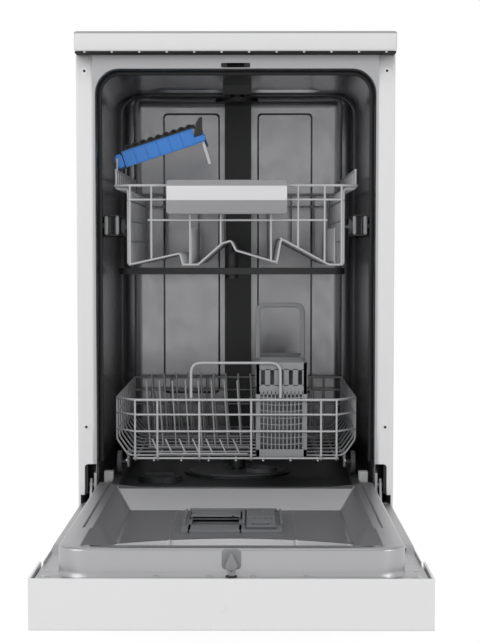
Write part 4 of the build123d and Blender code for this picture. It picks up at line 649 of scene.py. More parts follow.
# The dish's floor: rows that follow the trough's edge, with a pressed line on either side.
floor_x = np.unique(np.concatenate([np.linspace(-FLOOR_HALF - 0.6, FLOOR_HALF + 0.6, 40)]
                                   + [line + np.linspace(-4, 4, 9) for line in BEAD_LINES]))
trough_foot = TROUGH_EDGE - TROUGH_RAMP
rows = np.concatenate([np.linspace(FLOOR_BACK + 0.6, TROUGH_EDGE - 1, 14),
                       TROUGH_EDGE - TROUGH_RAMP * np.linspace(0, 1, 9),
                       np.linspace(trough_foot - 8, FLOOR_FRONT - 0.6, 10)])
floor_bow = np.interp(rows, [FLOOR_FRONT - 0.6, trough_foot, TROUGH_EDGE, FLOOR_BACK], [0, 1, 1, 0])
grid_x = np.repeat(floor_x[None], len(rows), 0)
grid_y = rows[:, None] - floor_bow[:, None] * TROUGH_BOW * (floor_x / FLOOR_HALF) ** 2
bead = sum(np.exp(-((grid_x - line) / 1.6) ** 2) for line in BEAD_LINES)
grid_z = FLOOR_Z + 0.02 - trough(grid_x, grid_y) + BEAD_HIGH * bead * (grid_y > TROUGH_EDGE - 20)
floor_sheet = open_grid(np.stack([grid_x, grid_y, grid_z], -1))
liner = solid_piece("door_liner_sheet", "door", brushed_steel,
                    [skin(liner_rings, (False, False)), floor_sheet],
                    replaces=["door_liner"], sharp=35)
walled(facing(liner, (0, -280, 600)), LINER_SHEET)

# Door skin and control panel: white painted steel, and over its end a moulded ABS cap that holds
# the grip hollow, the two buttons and the dark window.
# Moulded ABS: glossier than the painted steel beside it, and a touch warmer in its highlights.
abs_white = grained("white_moulded_abs", "#EDEDEE", 0.28, grit=0.9, depth=0.02, tint=0.015)
finished(white_paint, "outer_panel")
finished(abs_white, "control_panel", "power_button", "program_button")
# Smoked acrylic over a dark liquid-crystal cell: black, with a clear gloss above it.
window = surface("smoked_acrylic_window", "#0B0C0E", 0.08,
                 **{"Coat Weight": 0.6, "Coat Roughness": 0.03})[0]
finished(window, "display_window")

# Lower rack: steel wires welded into a basket and dipped in grey nylon. The cross wires are U
# shaped, three wires run round the sides, and rows of tines stand on the floor.
WIRE_THIN, WIRE_RIM, CROSSED = 1.5, 1.9, 1.4
RACK_HALF, RACK_FLOOR_HALF, RACK_FOOT_Z, RACK_FLOOR_Z = 173.5, 157.0, 268.0, 242.6
RACK_FRONT, RACK_BACK, RACK_FRONT_HALF, RACK_CHAMFER_Y = 25.5, 476.5, 144.5, 67.0
RACK_LEVELS = (283.2, 307.3, 328.4)
RACK_UPRIGHTS = (-144.5, -112.5, -52.4, 22.0, 122.3, 144.5)
RACK_TINES = ((60.0, 26.0, 10.0, -112.0, 14.0), (150.0, 105.0, 6.0, -130.0, 16.0),
              (300.0, 105.0, 6.0, -130.0, 138.0), (400.0, 60.0, 6.0, -130.0, 138.0))
TINE_PITCH, WHEEL_Y = 19.6, (115.0, 410.0)
# Nylon-dipped wire: a mid grey skin, satin, with a slightly uneven thickness.
coated_wire = grained("grey_nylon_coating", "#C2C2C4", 0.36, grit=4.0, depth=0.12, tint=0.05)


def wire(points, normal, radius=WIRE_THIN, bend=6.0, sides=8):
    """A round wire through points, with its corners bent and its ends closed."""
    turn = np.linspace(0, 2 * np.pi, sides, endpoint=False)
    circle = radius * np.stack([np.cos(turn), np.sin(turn)], -1)
    path = bent(points, bend, 5) if len(points) > 2 else np.asarray(points, float)
    return carried(circle, path, normal)


def sided(side, span):
    """A span of X laid on the left, where side is -1, or on the right, low end first."""
    return np.sort(side * np.array(span))


def rim_line(half, front, back, front_half, chamfer_y, z):
    """A rack's closed rim at height z: straight sides, and a front drawn in at its corners."""
    right = [(0, front), (front_half, front), (half, chamfer_y), (half, back), (0, back)]
    left = [(-x, y) for x, y in right[-2::-1]]
    return [(x, y, z) for x, y in right + left]


def tine(x, y, base, top, lean):
    """One tine: a thin wire that leans sideways and ends in a rounded tip."""
    turn = np.linspace(0, 2 * np.pi, 6, endpoint=False)
    circle = np.stack([np.cos(turn), np.sin(turn)], -1)
    tip = np.array([x - lean, y, top])
    foot = np.array([x, y, base])
    steps = np.array([0, 0.985, 0.996, 1.0])
    width = WIRE_THIN * np.array([1, 1, 0.75, 0.3])
    centre = foot + (tip - foot) * steps[:, None]
    rings = np.zeros((4, 6, 3))
    rings[:, :, :2] = centre[:, None, :2] + circle * width[:, None, None]
    rings[:, :, 2] = centre[:, None, 2]
    return skin(rings)


lower = []
for y in np.linspace(RACK_CHAMFER_Y, RACK_BACK - 1.5, 10):
    half = [(RACK_FLOOR_HALF, RACK_FLOOR_Z + CROSSED), (RACK_HALF, RACK_FOOT_Z), (RACK_HALF, RACK_LEVELS[2])]
    line = [(-x, y, z) for x, z in half[::-1]] + [(x, y, z) for x, z in half]
    lower.append(wire(line, (0, 1, 0), bend=14))
for x in RACK_UPRIGHTS:
    line = [(RACK_FRONT, RACK_LEVELS[2]), (RACK_FRONT, RACK_FLOOR_Z - CROSSED),
            (RACK_BACK, RACK_FLOOR_Z - CROSSED), (RACK_BACK, RACK_LEVELS[2])]
    lower.append(wire([(x, y, z) for y, z in line], (1, 0, 0), bend=9))
for x in np.linspace(-RACK_FLOOR_HALF, RACK_FLOOR_HALF, 9):
    lower.append(wire([(x, y, RACK_FLOOR_Z - CROSSED) for y in drawn_in((RACK_FRONT, RACK_BACK), 3)],
                      (1, 0, 0)))
lower.append(wire([(side * (RACK_FRONT_HALF + 3), RACK_FRONT + 3, RACK_FLOOR_Z + CROSSED)
                   for side in (-1, 1)], (0, 1, 0)))
for level in RACK_LEVELS:
    radius = WIRE_RIM if level == RACK_LEVELS[2] else WIRE_THIN
    lower.append(wire(rim_line(RACK_HALF, RACK_FRONT, RACK_BACK, RACK_FRONT_HALF, RACK_CHAMFER_Y, level),
                      (0, 0, 1), radius, bend=12))
for side in (-1, 1):
    for y in WHEEL_Y:
        lower.append(slab(sided(side, (158.6, 161.6)), about(y, 12), (221.6, 246), "X", 3, 0.4, 3))
solid_piece("lower_rack_wires", "lower_basket", coated_wire, lower,
            replaces=["lower_basket_floor", "lower_basket_walls"], sharp=60)
tines = []
for y, high, lean, first, last in RACK_TINES:
    base = RACK_FLOOR_Z + 4.0
    tines.append(wire([(first - 3, y, base), (last + 3, y, base)], (0, 1, 0)))
    for x in np.arange(first, last + 0.1, TINE_PITCH):
        tines.append(tine(x, y, base, RACK_FLOOR_Z + high, lean))
solid_piece("lower_rack_tines", "lower_basket", coated_wire, tines, replaces=["lower_basket_tines"],
            sharp=60)
LOWER_GRIP = [(-64, 331.5), (-64, 381.5), (64, 381.5), (64, 331.5)]
solid_piece("lower_rack_grip", "lower_basket", coated_wire,
            [wire([(x, RACK_FRONT, z) for x, z in LOWER_GRIP], (0, 1, 0), WIRE_RIM, bend=14)],
            replaces=["lower_basket_handle"], sharp=60)

# Wheels: moulded grey polypropylene with a tyre-like tread, a dished face and a hub that snaps
# over a pin on the rack.
# Moulded polypropylene: an even mid grey, satin where the tread is worn smooth.
wheel_plastic = grained("grey_polypropylene", "#6C6D70", 0.42, grit=0.9, depth=0.05)


def wheel(radius, x, y, z, low, high):
    """A small wheel on an X axis: a rounded tread, faces dished between hub and tread."""
    wide = high - low
    profile = [(0.12 * radius, 0.0), (0.3 * radius, 0.0), (0.32 * radius, 0.16), (0.7 * radius, 0.2),
               (0.76 * radius, 0.02), (0.93 * radius, 0.0), (radius, 0.14), (radius, 0.86),
               (0.93 * radius, 1.0), (0.76 * radius, 0.98), (0.7 * radius, 0.8), (0.32 * radius, 0.84),
               (0.3 * radius, 1.0), (0.12 * radius, 1.0)]
    return turned([(r, low + wide * t - x) for r, t in profile], (x, y, z), "X", 32)


def rolling_pair(node, finish, radius, y, z, tread, pin):
    """A left and a right wheel of one radius on their pins, as the node's piece."""
    shapes = []
    for side in (-1, 1):
        shapes.append(wheel(radius, 0, y, z, *sided(side, tread)))
        shapes.append(turned([(3, end) for end in sided(side, pin)], (0, y, z), "X", 16))
    solid_piece(f"{node}_moulded", node, finish, shapes, replaces=[node])


for node, y in zip(("lower_wheels_front", "lower_wheels_rear"), WHEEL_Y):
    rolling_pair(node, wheel_plastic, 17.0, y, 228.6, (169.5, 176.5), (157.5, 177.2))

# Upper rack: like the lower one, but its floor wires are bent up into ridges that carry plates,
# and its sides step out below the rim.
UP_FRONT, UP_BACK, UP_HALF, UP_RIM_HALF, UP_RIM_Z = 16.5, 460.5, 154.0, 170.7, 656.0
UP_FLOOR_Z, UP_FRONT_HALF, UP_SIDE_Y, UP_ROLLER_Y = 522.0, 150.0, 35.0, (240.0, 430.0)
UP_LEVELS, SHELF_BAR_Y = (585.0, 614.0, 634.0), (54.0, 238.0)
UP_PROFILE = ((-150.5, 0), (-79, 16), (-75, 0), (-53.6, 0), (-19.5, 30), (-6.7, 34), (0.4, 20), (58.6, 3),
              (64.3, 37), (132.5, 0), (150.5, 0))
UP_UPRIGHTS = ((-150, 0), (-119.6, 7), (-64.9, 0), (-21.3, 28.5), (50.1, 5), (88.4, 24.5), (126.1, 3.5),
               (150, 0))
UP_LONG = ((-150.5, 0), (-75, 0), (-53.6, 0), (58.6, 3), (132.5, 0), (150.5, 0), (-19.5, 30), (64.3, 37))
upper = []
side_line = [(UP_HALF, UP_FLOOR_Z + 1.4), (UP_HALF, 629.5), (UP_RIM_HALF, 629.5), (UP_RIM_HALF, UP_RIM_Z)]
floor_line = [(x, UP_FLOOR_Z + rise) for x, rise in UP_PROFILE]
for y in np.linspace(UP_SIDE_Y, UP_BACK, 12):
    line = [(-x, z) for x, z in side_line[::-1]] + floor_line + side_line
    upper.append(wire([(x, y, z) for x, z in line], (0, 1, 0), bend=4))
for y in (UP_FRONT, UP_BACK):
    ends = [(-UP_FRONT_HALF, UP_LEVELS[2])] + floor_line + [(UP_FRONT_HALF, UP_LEVELS[2])]
    upper.append(wire([(x, y, z) for x, z in ends], (0, 1, 0), bend=4))
    for x, rise in UP_UPRIGHTS:
        upper.append(wire([(x, y, UP_FLOOR_Z + rise), (x, y, UP_LEVELS[2])], (0, 1, 0)))
for x, rise in UP_LONG:
    z = UP_FLOOR_Z + rise
    upper.append(wire([(x, UP_FRONT, z), (x, UP_BACK, z)], (1, 0, 0)))
upper.append(wire([(-125, UP_FRONT, UP_LEVELS[0]), (130, UP_FRONT, UP_LEVELS[0])], (0, 1, 0)))
for half, level, radius in ((UP_HALF, UP_LEVELS[1], WIRE_THIN), (172.4, UP_LEVELS[2], WIRE_RIM)):
    upper.append(wire(rim_line(half, UP_FRONT, UP_BACK, 152.0, UP_SIDE_Y, level), (0, 0, 1), radius, bend=3))
for side in (-1, 1):
    for x, z in ((UP_HALF, 555.0), *((UP_HALF, level) for level in UP_LEVELS[:2]),
                 (UP_RIM_HALF, UP_LEVELS[2]), (UP_RIM_HALF, UP_RIM_Z)):
        upper.append(wire([(side * x, UP_SIDE_Y, z), (side * x, UP_BACK, z)], (1, 0, 0),
                          WIRE_RIM if z == UP_RIM_Z else WIRE_THIN))
    for y in UP_ROLLER_Y:
        upper.append(slab(sided(side, (154.5, 158)), about(y, 15), (560, 596), "X", 4, 0.5, 3))
for y in SHELF_BAR_Y:
    upper.append(wire([(-UP_RIM_HALF, y, 655), (-UP_RIM_HALF, y, 672)], (0, 1, 0)))
upper.append(wire([(-UP_RIM_HALF, y, 672) for y in SHELF_BAR_Y], (1, 0, 0), 2.0))
solid_piece("upper_rack_wires", "upper_basket", coated_wire, upper,
            replaces=["upper_basket_floor", "upper_basket_walls"], sharp=60)
tines = []
for x in (-64.0, 142.0):
    tines.append(wire([(x, UP_SIDE_Y + 10, 525), (x, UP_BACK - 10, 525)], (1, 0, 0)))
    for y in np.linspace(UP_SIDE_Y + 20, UP_BACK - 20, 9):
        tines.append(tine(x, y, 525, 575, 0))
solid_piece("upper_rack_tines", "upper_basket", coated_wire, tines, replaces=["upper_basket_tines"],
            sharp=60)

# Upper rack's handle: a grey moulded grip that snaps over the front wires, with a plain silver
# band let into its face.
GRIP_X, GRIP_Y, GRIP_Z, BAND_Z = (-98.0, 73.0), (3.2, 15.0), (593.4, 641.5), (612.8, 633.2)
# Moulded ABS in mid grey: an even satin face whose round edges catch a thin light.
grip_plastic = grained("mid_grey_abs", "#98989A", 0.34, grit=0.8, depth=0.03, tint=0.03)
# Hot-stamped silver foil under clear lacquer: a pale, even sheen.
band_foil = grained("lacquered_silver_foil", "#DFDFE2", 0.24, grit=0.5, depth=0.01, tint=0.03,
                    **{"Metallic": 0.25, "Coat Weight": 0.4})
solid_piece("upper_rack_grip", "upper_basket", grip_plastic,
            [slab(GRIP_X, GRIP_Y, GRIP_Z, "Y", 4.5, 1.2),
             *(slab(about(x, 7), (14.5, 19), about(z, 3.2), "Y", 1.5, 0.6, 3)
               for x in (-80, -12, 55) for z in UP_LEVELS[1:])],
            replaces=["upper_basket_handle"])
solid_piece("upper_rack_grip_band", "upper_basket", band_foil,
            [slab(drawn_in(GRIP_X, 0.6), (3.0, 4.4), BAND_Z, "Y", 0.8, 0.2, 3)])

# Cup shelf: blue polypropylene, moulded with a ribbed front and a rounded end cap. A black comb
# for stems snaps along its top edge, with a stop at one end and a pale support leg.
SHELF_PIVOT, SHELF_TILT, SHELF_Y = (-170.7, 672.0), 18.0, (56.0, 236.0)
SHELF_PANELS, PANEL_PITCH, COMB_LOOPS, LOOP_PITCH = 6, 17.6, 9, 11.6
# Dyed polypropylene: a clear, slightly waxy blue.
blue_plastic = grained("blue_polypropylene", "#3A84D8", 0.32, grit=1.2, depth=0.04, tint=0.05)


def tilted(shape):
    """A shape drawn along the shelf, turned up by the shelf's tilt about its pin: u runs away
    from the pin, and w stands square to the shelf."""
    points, faces = shape
    cos, sin = np.cos(np.radians(SHELF_TILT)), np.sin(np.radians(SHELF_TILT))
    u, y, w = points.T
    return np.stack([SHELF_PIVOT[0] + u * cos - w * sin, y, SHELF_PIVOT[1] + u * sin + w * cos], -1), faces


front = SHELF_Y[0]
shelf = [slab((9, 116), (front + 0.8, front + 4), (-13.8, 8), "Y", 1.0, 0.4, 3),
         slab((9, 117), (front - 0.6, front + 5), (7.4, 9.0), "Z", 0.8, 0.4, 3),
         slab((9, 117), (front, front + 5), (-14.2, -12.8), "Z", 0.6, 0.4, 3),
         slab((-3, 8.2), (front + 0.2, front + 9), (-13.5, 7.2), "Y", 4.6, 1.6),
         slab((110, 130.5), (front + 0.4, front + 7), (-13.2, -3.4), "Y", 3.6, 1.4),
         slab((0, 128), (front + 3, SHELF_Y[1]), (-1.6, 1.4), "Z", 4, 0.8),
         slab((127, 130), (front + 3, SHELF_Y[1]), (-12, 3), "X", 3, 0.8),
         turned([(4.9, front + 4), (4.9, SHELF_Y[1] - 0.5)], (0, 0, 0), "Y", 20)]
shelf += [slab((u, u + 0.955 * PANEL_PITCH), (front, front + 2), (-12.9, 7.5), "Y", 0.9, 0.5, 3)
          for u in 9.3 + PANEL_PITCH * np.arange(SHELF_PANELS)]
shelf += [slab((u, u + 2.4), (front + 8, SHELF_Y[1] - 6), (1.2, 3.6), "X", 0.8, 0.5, 3)
          for u in 12 + 16.0 * np.arange(8)]
solid_piece("cup_shelf_moulding", "cup_shelf", blue_plastic, [tilted(shape) for shape in shelf],
            replaces=["cup_shelf"])
comb = [slab((13, 121), (front + 1, front + 6), (8.4, 11.6), "Z", 0.8, 0.4, 3),
        slab((13, 121), (front + 9, front + 12), (12.4, 14.6), "Z", 0.6, 0.4, 3)]
loop = np.linspace(0, np.pi, 9)
for middle in 19.5 + LOOP_PITCH * np.arange(COMB_LOOPS):
    arch = np.stack([middle + 4.8 * np.cos(loop), np.full(9, front + 3.5), 10.6 + 4.6 * np.sin(loop)], -1)
    comb.append(wire(arch.tolist(), (0, 1, 0), 1.5, bend=1))
solid_piece("cup_shelf_comb", "cup_shelf", black_plastic, [tilted(shape) for shape in comb])


def cut_plate(outline, steps):
    """A flat plate of an (x, z) outline, carried through steps of (y, share of its full size)."""
    middle = outline.mean(0)
    rings = []
    for y, share in steps:
        ring = middle + (outline - middle) * share
        rings.append(np.column_stack([ring[:, 0], np.full(len(ring), y), ring[:, 1]]))
    return skin(np.array(rings))


# The comb's end stop stands upright when the shelf is open, and a leg props the shelf's far side.
STOP = ((-59.9, 704.2), (-48.2, 708.1), (-48.5, 733.0), (-53.2, 732.4), (-57.8, 724.0), (-59.9, 712.0))
stop = cut_plate(np.array(STOP), ((front - 0.4, 0.86), (front + 0.2, 1.0), (front + 4.4, 1.0),
                                  (front + 5, 0.86)))
solid_piece("cup_shelf_stop", "cup_shelf", black_plastic, [stop])
LEG = ((-51.0, 706.0), (-46.3, 694.5), (-42.0, 681.0), (-37.7, 666.5))
leg_line = bent([(x, front + 7, z) for x, z in LEG], 8, 5)
solid_piece("cup_shelf_leg", "cup_shelf", pale_plastic,
            [carried(rounded_outline((-1.4, 1.4), (-2.1, 2.1), 1.0, 0, 3), leg_line, (0, 1, 0))])

# Cutlery basket: one lattice moulding of light grey polypropylene, with five slots in its front,
# a solid foot, and a middle wall that rises into the carrying loop.
BOX_X, BOX_Y, BOX_Z, BOX_WALL = (28.8, 102.3), (28.6, 266.0), (246.0, 382.0), 2.2
BOX_FOOT, BOX_BAND, BOX_RIM, BOX_LOOP_TOP, BOX_LOOP_WIDE = 257.0, 340.0, 371.0, 460.5, 7.0
BOX_POST, BAR_PITCH = 5.5, 13.3
# Polypropylene in light grey: its thin bars look soft-edged and half matt.
basket_plastic = grained("light_grey_polypropylene", "#929395", 0.4, grit=0.9, depth=0.05)
box_middle, mid_y = sum(BOX_X) / 2, sum(BOX_Y) / 2


def wall_at(at, limits):
    """The thickness of a wall that stands at one of the box's limits, inside it, low end first."""
    return np.sort([at, at + BOX_WALL * np.sign(np.mean(limits) - at)])


def facing_slab(across, thick, along, z, corner, edge, steps):
    """A slab of a wall that faces along X or Y."""
    x, y = (thick, along) if across == "X" else (along, thick)
    return slab(x, y, z, across, corner, edge, steps)


def sagging(start, end, drop):
    """A line of nine points from start to end that hangs by drop in its middle, as a half sine."""
    sweep = np.linspace(0, 1, 9)
    line = np.array(start) + (np.array(end) - start) * sweep[:, None]
    line[:, 2] -= drop * np.sin(np.pi * sweep)
    return line.tolist()


def lattice(span, low, high, across, at, limits, pitch, row_gap):
    """A wall of thin bars, upright and sagging level ones, between low and high. across tells
    the axis that it faces, span its extent, and at where it stands."""
    thick = wall_at(at, limits)
    bars = [facing_slab(across, thick, about(place, 0.85), (low - 1, high + 1), 0.7, 0.3, 2)
            for place in np.arange(span[0] + pitch, span[1] - pitch / 2, pitch)]
    inner = np.mean(thick)
    normal = (1, 0, 0) if across == "X" else (0, 1, 0)
    for z in np.arange(low + row_gap, high - 2, row_gap):
        ends = [(inner, place, z) if across == "X" else (place, inner, z) for place in span]
        bars.append(wire(sagging(*ends, 3.0), normal, 0.85, 1, 6))
    return bars


def box_wall(span, across, at, limits, pitch):
    """One wall: posts at its ends, a solid foot, band and rim, and the lattice between."""
    pieces = [(span, (BOX_Z[0], BOX_FOOT)), (span, (BOX_RIM, BOX_Z[1])),
              (span, (BOX_BAND - 4, BOX_BAND + 10)),
              ((span[0], span[0] + BOX_POST), BOX_Z), ((span[1] - BOX_POST, span[1]), BOX_Z)]
    return ([facing_slab(across, wall_at(at, limits), along, z, 1.0, 0.5, 3) for along, z in pieces]
            + lattice(span, BOX_FOOT, BOX_BAND, across, at, limits, pitch, 9.5))


box = []
for at in BOX_Y:
    box += box_wall(BOX_X, "Y", at, BOX_Y, 5.6)
for at in drawn_in(BOX_X, 0.3):
    box += box_wall(drawn_in(BOX_Y, 0.4), "X", at, BOX_X, 9.1)
bar_z = (BOX_BAND + 8, BOX_RIM + 2)
for at in BOX_Y:
    box += [slab(about(box_middle + k * BAR_PITCH, 3.8), wall_at(at, BOX_Y), bar_z, "Y", 0.8, 0.4, 3)
            for k in np.arange(-3, 3) + 0.5]
for at in BOX_X:
    box += [slab(wall_at(at, BOX_X), about(y, 3), bar_z, "X", 0.8, 0.4, 3)
            for y in np.arange(BOX_Y[0] + 12, BOX_Y[1] - 8, BAR_PITCH)]
inner_x = drawn_in(BOX_X, 1)
box += [slab(drawn_in(BOX_X, 0.4), drawn_in(BOX_Y, 0.5), (BOX_Z[0] + 0.2, BOX_Z[0] + 2.5), "Z", 2, 0.8),
        slab(inner_x, drawn_in(BOX_Y, 1), (BOX_Z[1] - 7, BOX_Z[1] - 5.6), "Z", 2, 0.4),
        slab(inner_x, about(mid_y, 1.1), (BOX_Z[0] + 1, BOX_Z[1]), "Y", 1, 0.4, 3)]
edge_x = BOX_LOOP_WIDE / 2
loop_left, loop_right = drawn_in(BOX_X, edge_x)
loop_line = [(loop_left, mid_y, BOX_Z[1] - 4), (loop_left, mid_y, BOX_LOOP_TOP),
             (loop_right, mid_y, BOX_LOOP_TOP), (loop_right, mid_y, BOX_Z[1] - 4)]
box.append(carried(rounded_outline((-1.6, 1.6), (-edge_x, edge_x), 1.4, steps=3),
                   bent(loop_line, 11, 9), (0, 1, 0)))
for y in np.arange(BOX_Y[0] + 11, BOX_Y[1] - 6, 11.5):
    ends = [(x, y, BOX_Z[1] - 3.5) for x in inner_x]
    box.append(wire(sagging(*ends, 2.0), (0, 1, 0), 0.9, 1, 6))
solid_piece("cutlery_lattice", "cutlery_basket", basket_plastic, box, replaces=["cutlery_basket"])

# Small parts round the racks: moulded filter, blocks, covers and spray arms, and the door's steel
# hinge arms and screws. Their solids have the shape, and each takes its own plastic or metal.
finished(wheel_plastic, "sump_filter")
finished(pale_plastic, "track_end_blocks", "water_softener")
finished(dark_plastic, "upper_spray_arm", "lower_spray_arm")
finished(brushed_steel, "hinge_brackets", "hinge_arms")
finished(black_plastic, "hinge_covers")
finished(screw_steel, "door_screws")

# Dispenser: a moulded grey polypropylene unit clipped into the door. A lid slides over the
# detergent cup, and the rinse aid's flap is hinged at the end of a raised block.
PLATE_TOP, PLATE_THICK, DISPENSER_TOP, LIP_TOP, GROOVE = 185.0, 4.0, 188.8, 190.8, 1.6
CUP_X, CUP_FLOOR, CUP_WALL, RIB_X, BLOCK_X = (-56.0, 6.0), 163.5, 2.0, (-67.0, 10.5, 60.0), (16.0, 54.0)


def node_span(node):
    """A node's lowest and highest corners at rest, in millimetres from the cabinet's front."""
    return [np.array(corner) / MM - (0, FRONT / MM, 0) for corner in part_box(node)]


(body_low, body_high), (lid_low, lid_high), (flap_low, flap_high) = (
    node_span(node) for node in ("dispenser_body", "dispenser_lid", "rinse_aid_flap"))
cup_y = (body_low[1] + 45, lid_low[1] + 0.2)
plate_y, plate_z = (body_low[1], body_high[1]), (PLATE_TOP - PLATE_THICK, PLATE_TOP)
# Glass-filled grey polypropylene, greyed by salts: matt, with a fine moulded grain.
dispenser_grey = grained("dispenser_polypropylene", "#77787B", 0.46, grit=1.4, depth=0.08, tint=0.08)
# The same plastic, painted darker as shade where it lies deep: matt.
recess_shade_plastic = grained("shaded_polypropylene", "#55565A", 0.5, grit=1.0, depth=0.05)
block_z, wall_z = (PLATE_TOP - 1, DISPENSER_TOP), (CUP_FLOOR - 1, PLATE_TOP - 0.15)
cup_hole, cup_outside = drawn_in(CUP_X, -4), drawn_in(cup_y, -CUP_WALL)
housing = [slab((body_low[0], CUP_X[0]), plate_y, plate_z, "Z", 1.2, 0.5),
           slab((CUP_X[1], body_high[0]), plate_y, plate_z, "Z", 1.2, 0.5),
           slab(cup_hole, (plate_y[0], cup_y[0]), plate_z, "Z", 0.5, 0.4),
           slab(cup_hole, (cup_y[1], plate_y[1]), plate_z, "Z", 0.5, 0.4),
           slab(drawn_in(CUP_X, -CUP_WALL), cup_outside, (CUP_FLOOR - CUP_WALL, CUP_FLOOR), "Z", 3, 0.6)]
for end, out in zip(CUP_X, drawn_in(CUP_X, -CUP_WALL)):
    housing.append(slab(np.sort([end, out]), cup_outside, wall_z, "X", 1, 0.3, 3))
for end, out in zip(cup_y, cup_outside):
    housing.append(slab(CUP_X, np.sort([end, out]), wall_z, "Y", 1, 0.3, 3))
housing += [slab((x, x + 3.0), (cup_y[0] - 4, plate_y[1] - 8), block_z, "X", 1.2, 0.8, 3) for x in RIB_X]
housing.append(slab((CUP_X[0] - 6, BLOCK_X[1] + 4), (plate_y[1] - 11, plate_y[1] - 3), block_z, "Z", 2, 0.8,
                    3))
# The raised block behind the flap, and the block in front of it with a hollow for a fingertip.
block_back, flap_front = (flap_high[1] + 0.5, plate_y[1] - 10), flap_low[1] - 1.0
housing.append(slab(BLOCK_X, block_back, block_z, "Z", 2, 0.6, 3))
housing += [slab((x, x + GROOVE), (block_back[0] + 3, block_back[1] - 4),
                 (DISPENSER_TOP - 0.5, DISPENSER_TOP + 0.5), "X", 0.4, 0.3, 2)
            for x in BLOCK_X[0] + 4 + 6 * np.arange(6)]
block_front = plate_y[0] + 8
hollow_x, hollow_back = (BLOCK_X[0] + 7, BLOCK_X[1] - 8), flap_front - 19
housing.append(slab(BLOCK_X, (block_front, hollow_back), block_z, "Z", 2, 0.8, 3))
for span in ((BLOCK_X[0], hollow_x[0]), (hollow_x[1], BLOCK_X[1])):
    housing.append(slab(span, (hollow_back - 2, flap_front), block_z, "Z", 1, 0.6, 3))
solid_piece("dispenser_housing", "door", dispenser_grey, housing, replaces=["dispenser_body"])
# Dark strips of painted shade: behind the lid, over the cup's floor, before and beside the raised block, and
# in the fingertip hollow.
shade_strip_z = about(PLATE_TOP, 0.4)
shade_strips = [slab(CUP_X, (lid_high[1] + 0.3, lid_high[1] + 2.6), (PLATE_TOP - 0.5, DISPENSER_TOP - 0.6), "Z", 0.8,
              0.3, 3),
         slab(CUP_X, cup_y, (CUP_FLOOR - 0.2, CUP_FLOOR + 0.4), "Z", 2, 0.2, 3),
         slab(BLOCK_X, (block_front - 2.2, block_front), (PLATE_TOP - 0.5, DISPENSER_TOP - 0.8), "Z", 0.8,
              0.3, 3),
         slab(hollow_x, (hollow_back, flap_front), shade_strip_z, "Z", 1, 0.2, 3),
         slab((BLOCK_X[0] - 2.4, BLOCK_X[0]), (block_front, block_back[1]), (shade_strip_z[0], PLATE_TOP + 0.5), "Z",
              0.8, 0.2, 3)]
solid_piece("dispenser_painted_shade", "door", recess_shade_plastic, shade_strips)
lid_x, lid_y = (lid_low[0], lid_high[0]), (lid_low[1], lid_high[1])
lid_foot, lid_z = lid_low[2], (lid_low[2], DISPENSER_TOP)
grip_x, grip_y = (lid_x[0] + 11, lid_x[1] - 9), (lid_y[0] + 26, lid_y[1] - 20)
lid = [slab(lid_x, (lid_y[0], grip_y[0]), lid_z, "Z", 2, 0.6, 3),
       slab(lid_x, (grip_y[1], lid_y[1]), lid_z, "Z", 2, 0.6, 3),
       slab((lid_x[0], grip_x[0]), drawn_in(grip_y, -2), lid_z, "Z", 1, 0.6, 3),
       slab((grip_x[1], lid_x[1]), drawn_in(grip_y, -2), lid_z, "Z", 1, 0.6, 3),
       slab(drawn_in(grip_x, -1), drawn_in(grip_y, -1), (lid_foot, lid_foot + 1.0), "Z", 1, 0.3, 3),
       slab(lid_x, (lid_y[0], lid_y[0] + 3.6), (lid_foot, LIP_TOP), "Y", 1.2, 0.8, 3)]
solid_piece("dispenser_sliding_lid", "dispenser_lid", dispenser_grey, lid, replaces=["dispenser_lid"])
# A black stud is the lid's catch; a thin black sheet over the grip hollow's floor is painted shade.
stud = turned([(1.9, -0.5), (1.9, 0.5)], (lid_x[1] - 10, lid_y[0] - 0.2, lid_foot + 2.9), "Y", 16)
solid_piece("dispenser_lid_catch_and_grip_shade", "dispenser_lid", black_plastic,
            [stud, slab(grip_x, grip_y, (lid_foot + 0.8, lid_foot + 1.3), "Z", 1, 0.2, 3)])
flap_x, flap_y = (flap_low[0], flap_high[0]), (flap_low[1], flap_high[1])
flap = [slab(flap_x, flap_y, (flap_low[2], flap_high[2]), "Z", 2, 0.7, 4)]
flap += [slab((x, x + GROOVE), (flap_y[0] + 9, flap_y[1] - 6), (flap_high[2] - 0.5, flap_high[2] + 0.4), "X",
              0.4, 0.3, 2) for x in np.arange(flap_x[0] + 5, flap_x[1] - 5, 5.6)]
solid_piece("rinse_aid_cover", "rinse_aid_flap", dispenser_grey, flap, replaces=["rinse_aid_flap"])

# Door catch: a pressed steel tongue that rises from a slot in the door's edge, in front of a grey
# moulded pocket with rounded lower corners. The slot is a thin black plate of painted shade round the
# tongue's foot.
POCKET_X, POCKET_Z, POCKET_Y = 10.8, (190.6, 213.0), (-565.9, -562.5)
TONGUE_Y = (-573.2, -570.6)
TONGUE = ((0, 187.6), (4.6, 190.4), (6.9, 194.5), (6.2, 197.6), (3.4, 204.0), (1.2, 210.2))
# Moulded pocket: mid grey and satin, a little darker than the steel round it.
pocket_grey = grained("pocket_polypropylene", "#8A8B8D", 0.4, grit=0.8, depth=0.03)
solid_piece("door_catch_pocket", "door", pocket_grey,
            [slab((-POCKET_X, POCKET_X), POCKET_Y, POCKET_Z, "Y", 4.2, 0.5)])
right = np.array(TONGUE)
outline = np.concatenate([right, (right[1:] * (-1, 1))[::-1]])[::-1]
tongue = cut_plate(outline, ((TONGUE_Y[1], 0.93), (TONGUE_Y[1] - 0.5, 1.0), (TONGUE_Y[0] + 0.6, 1.0),
                             (TONGUE_Y[0], 0.9)))
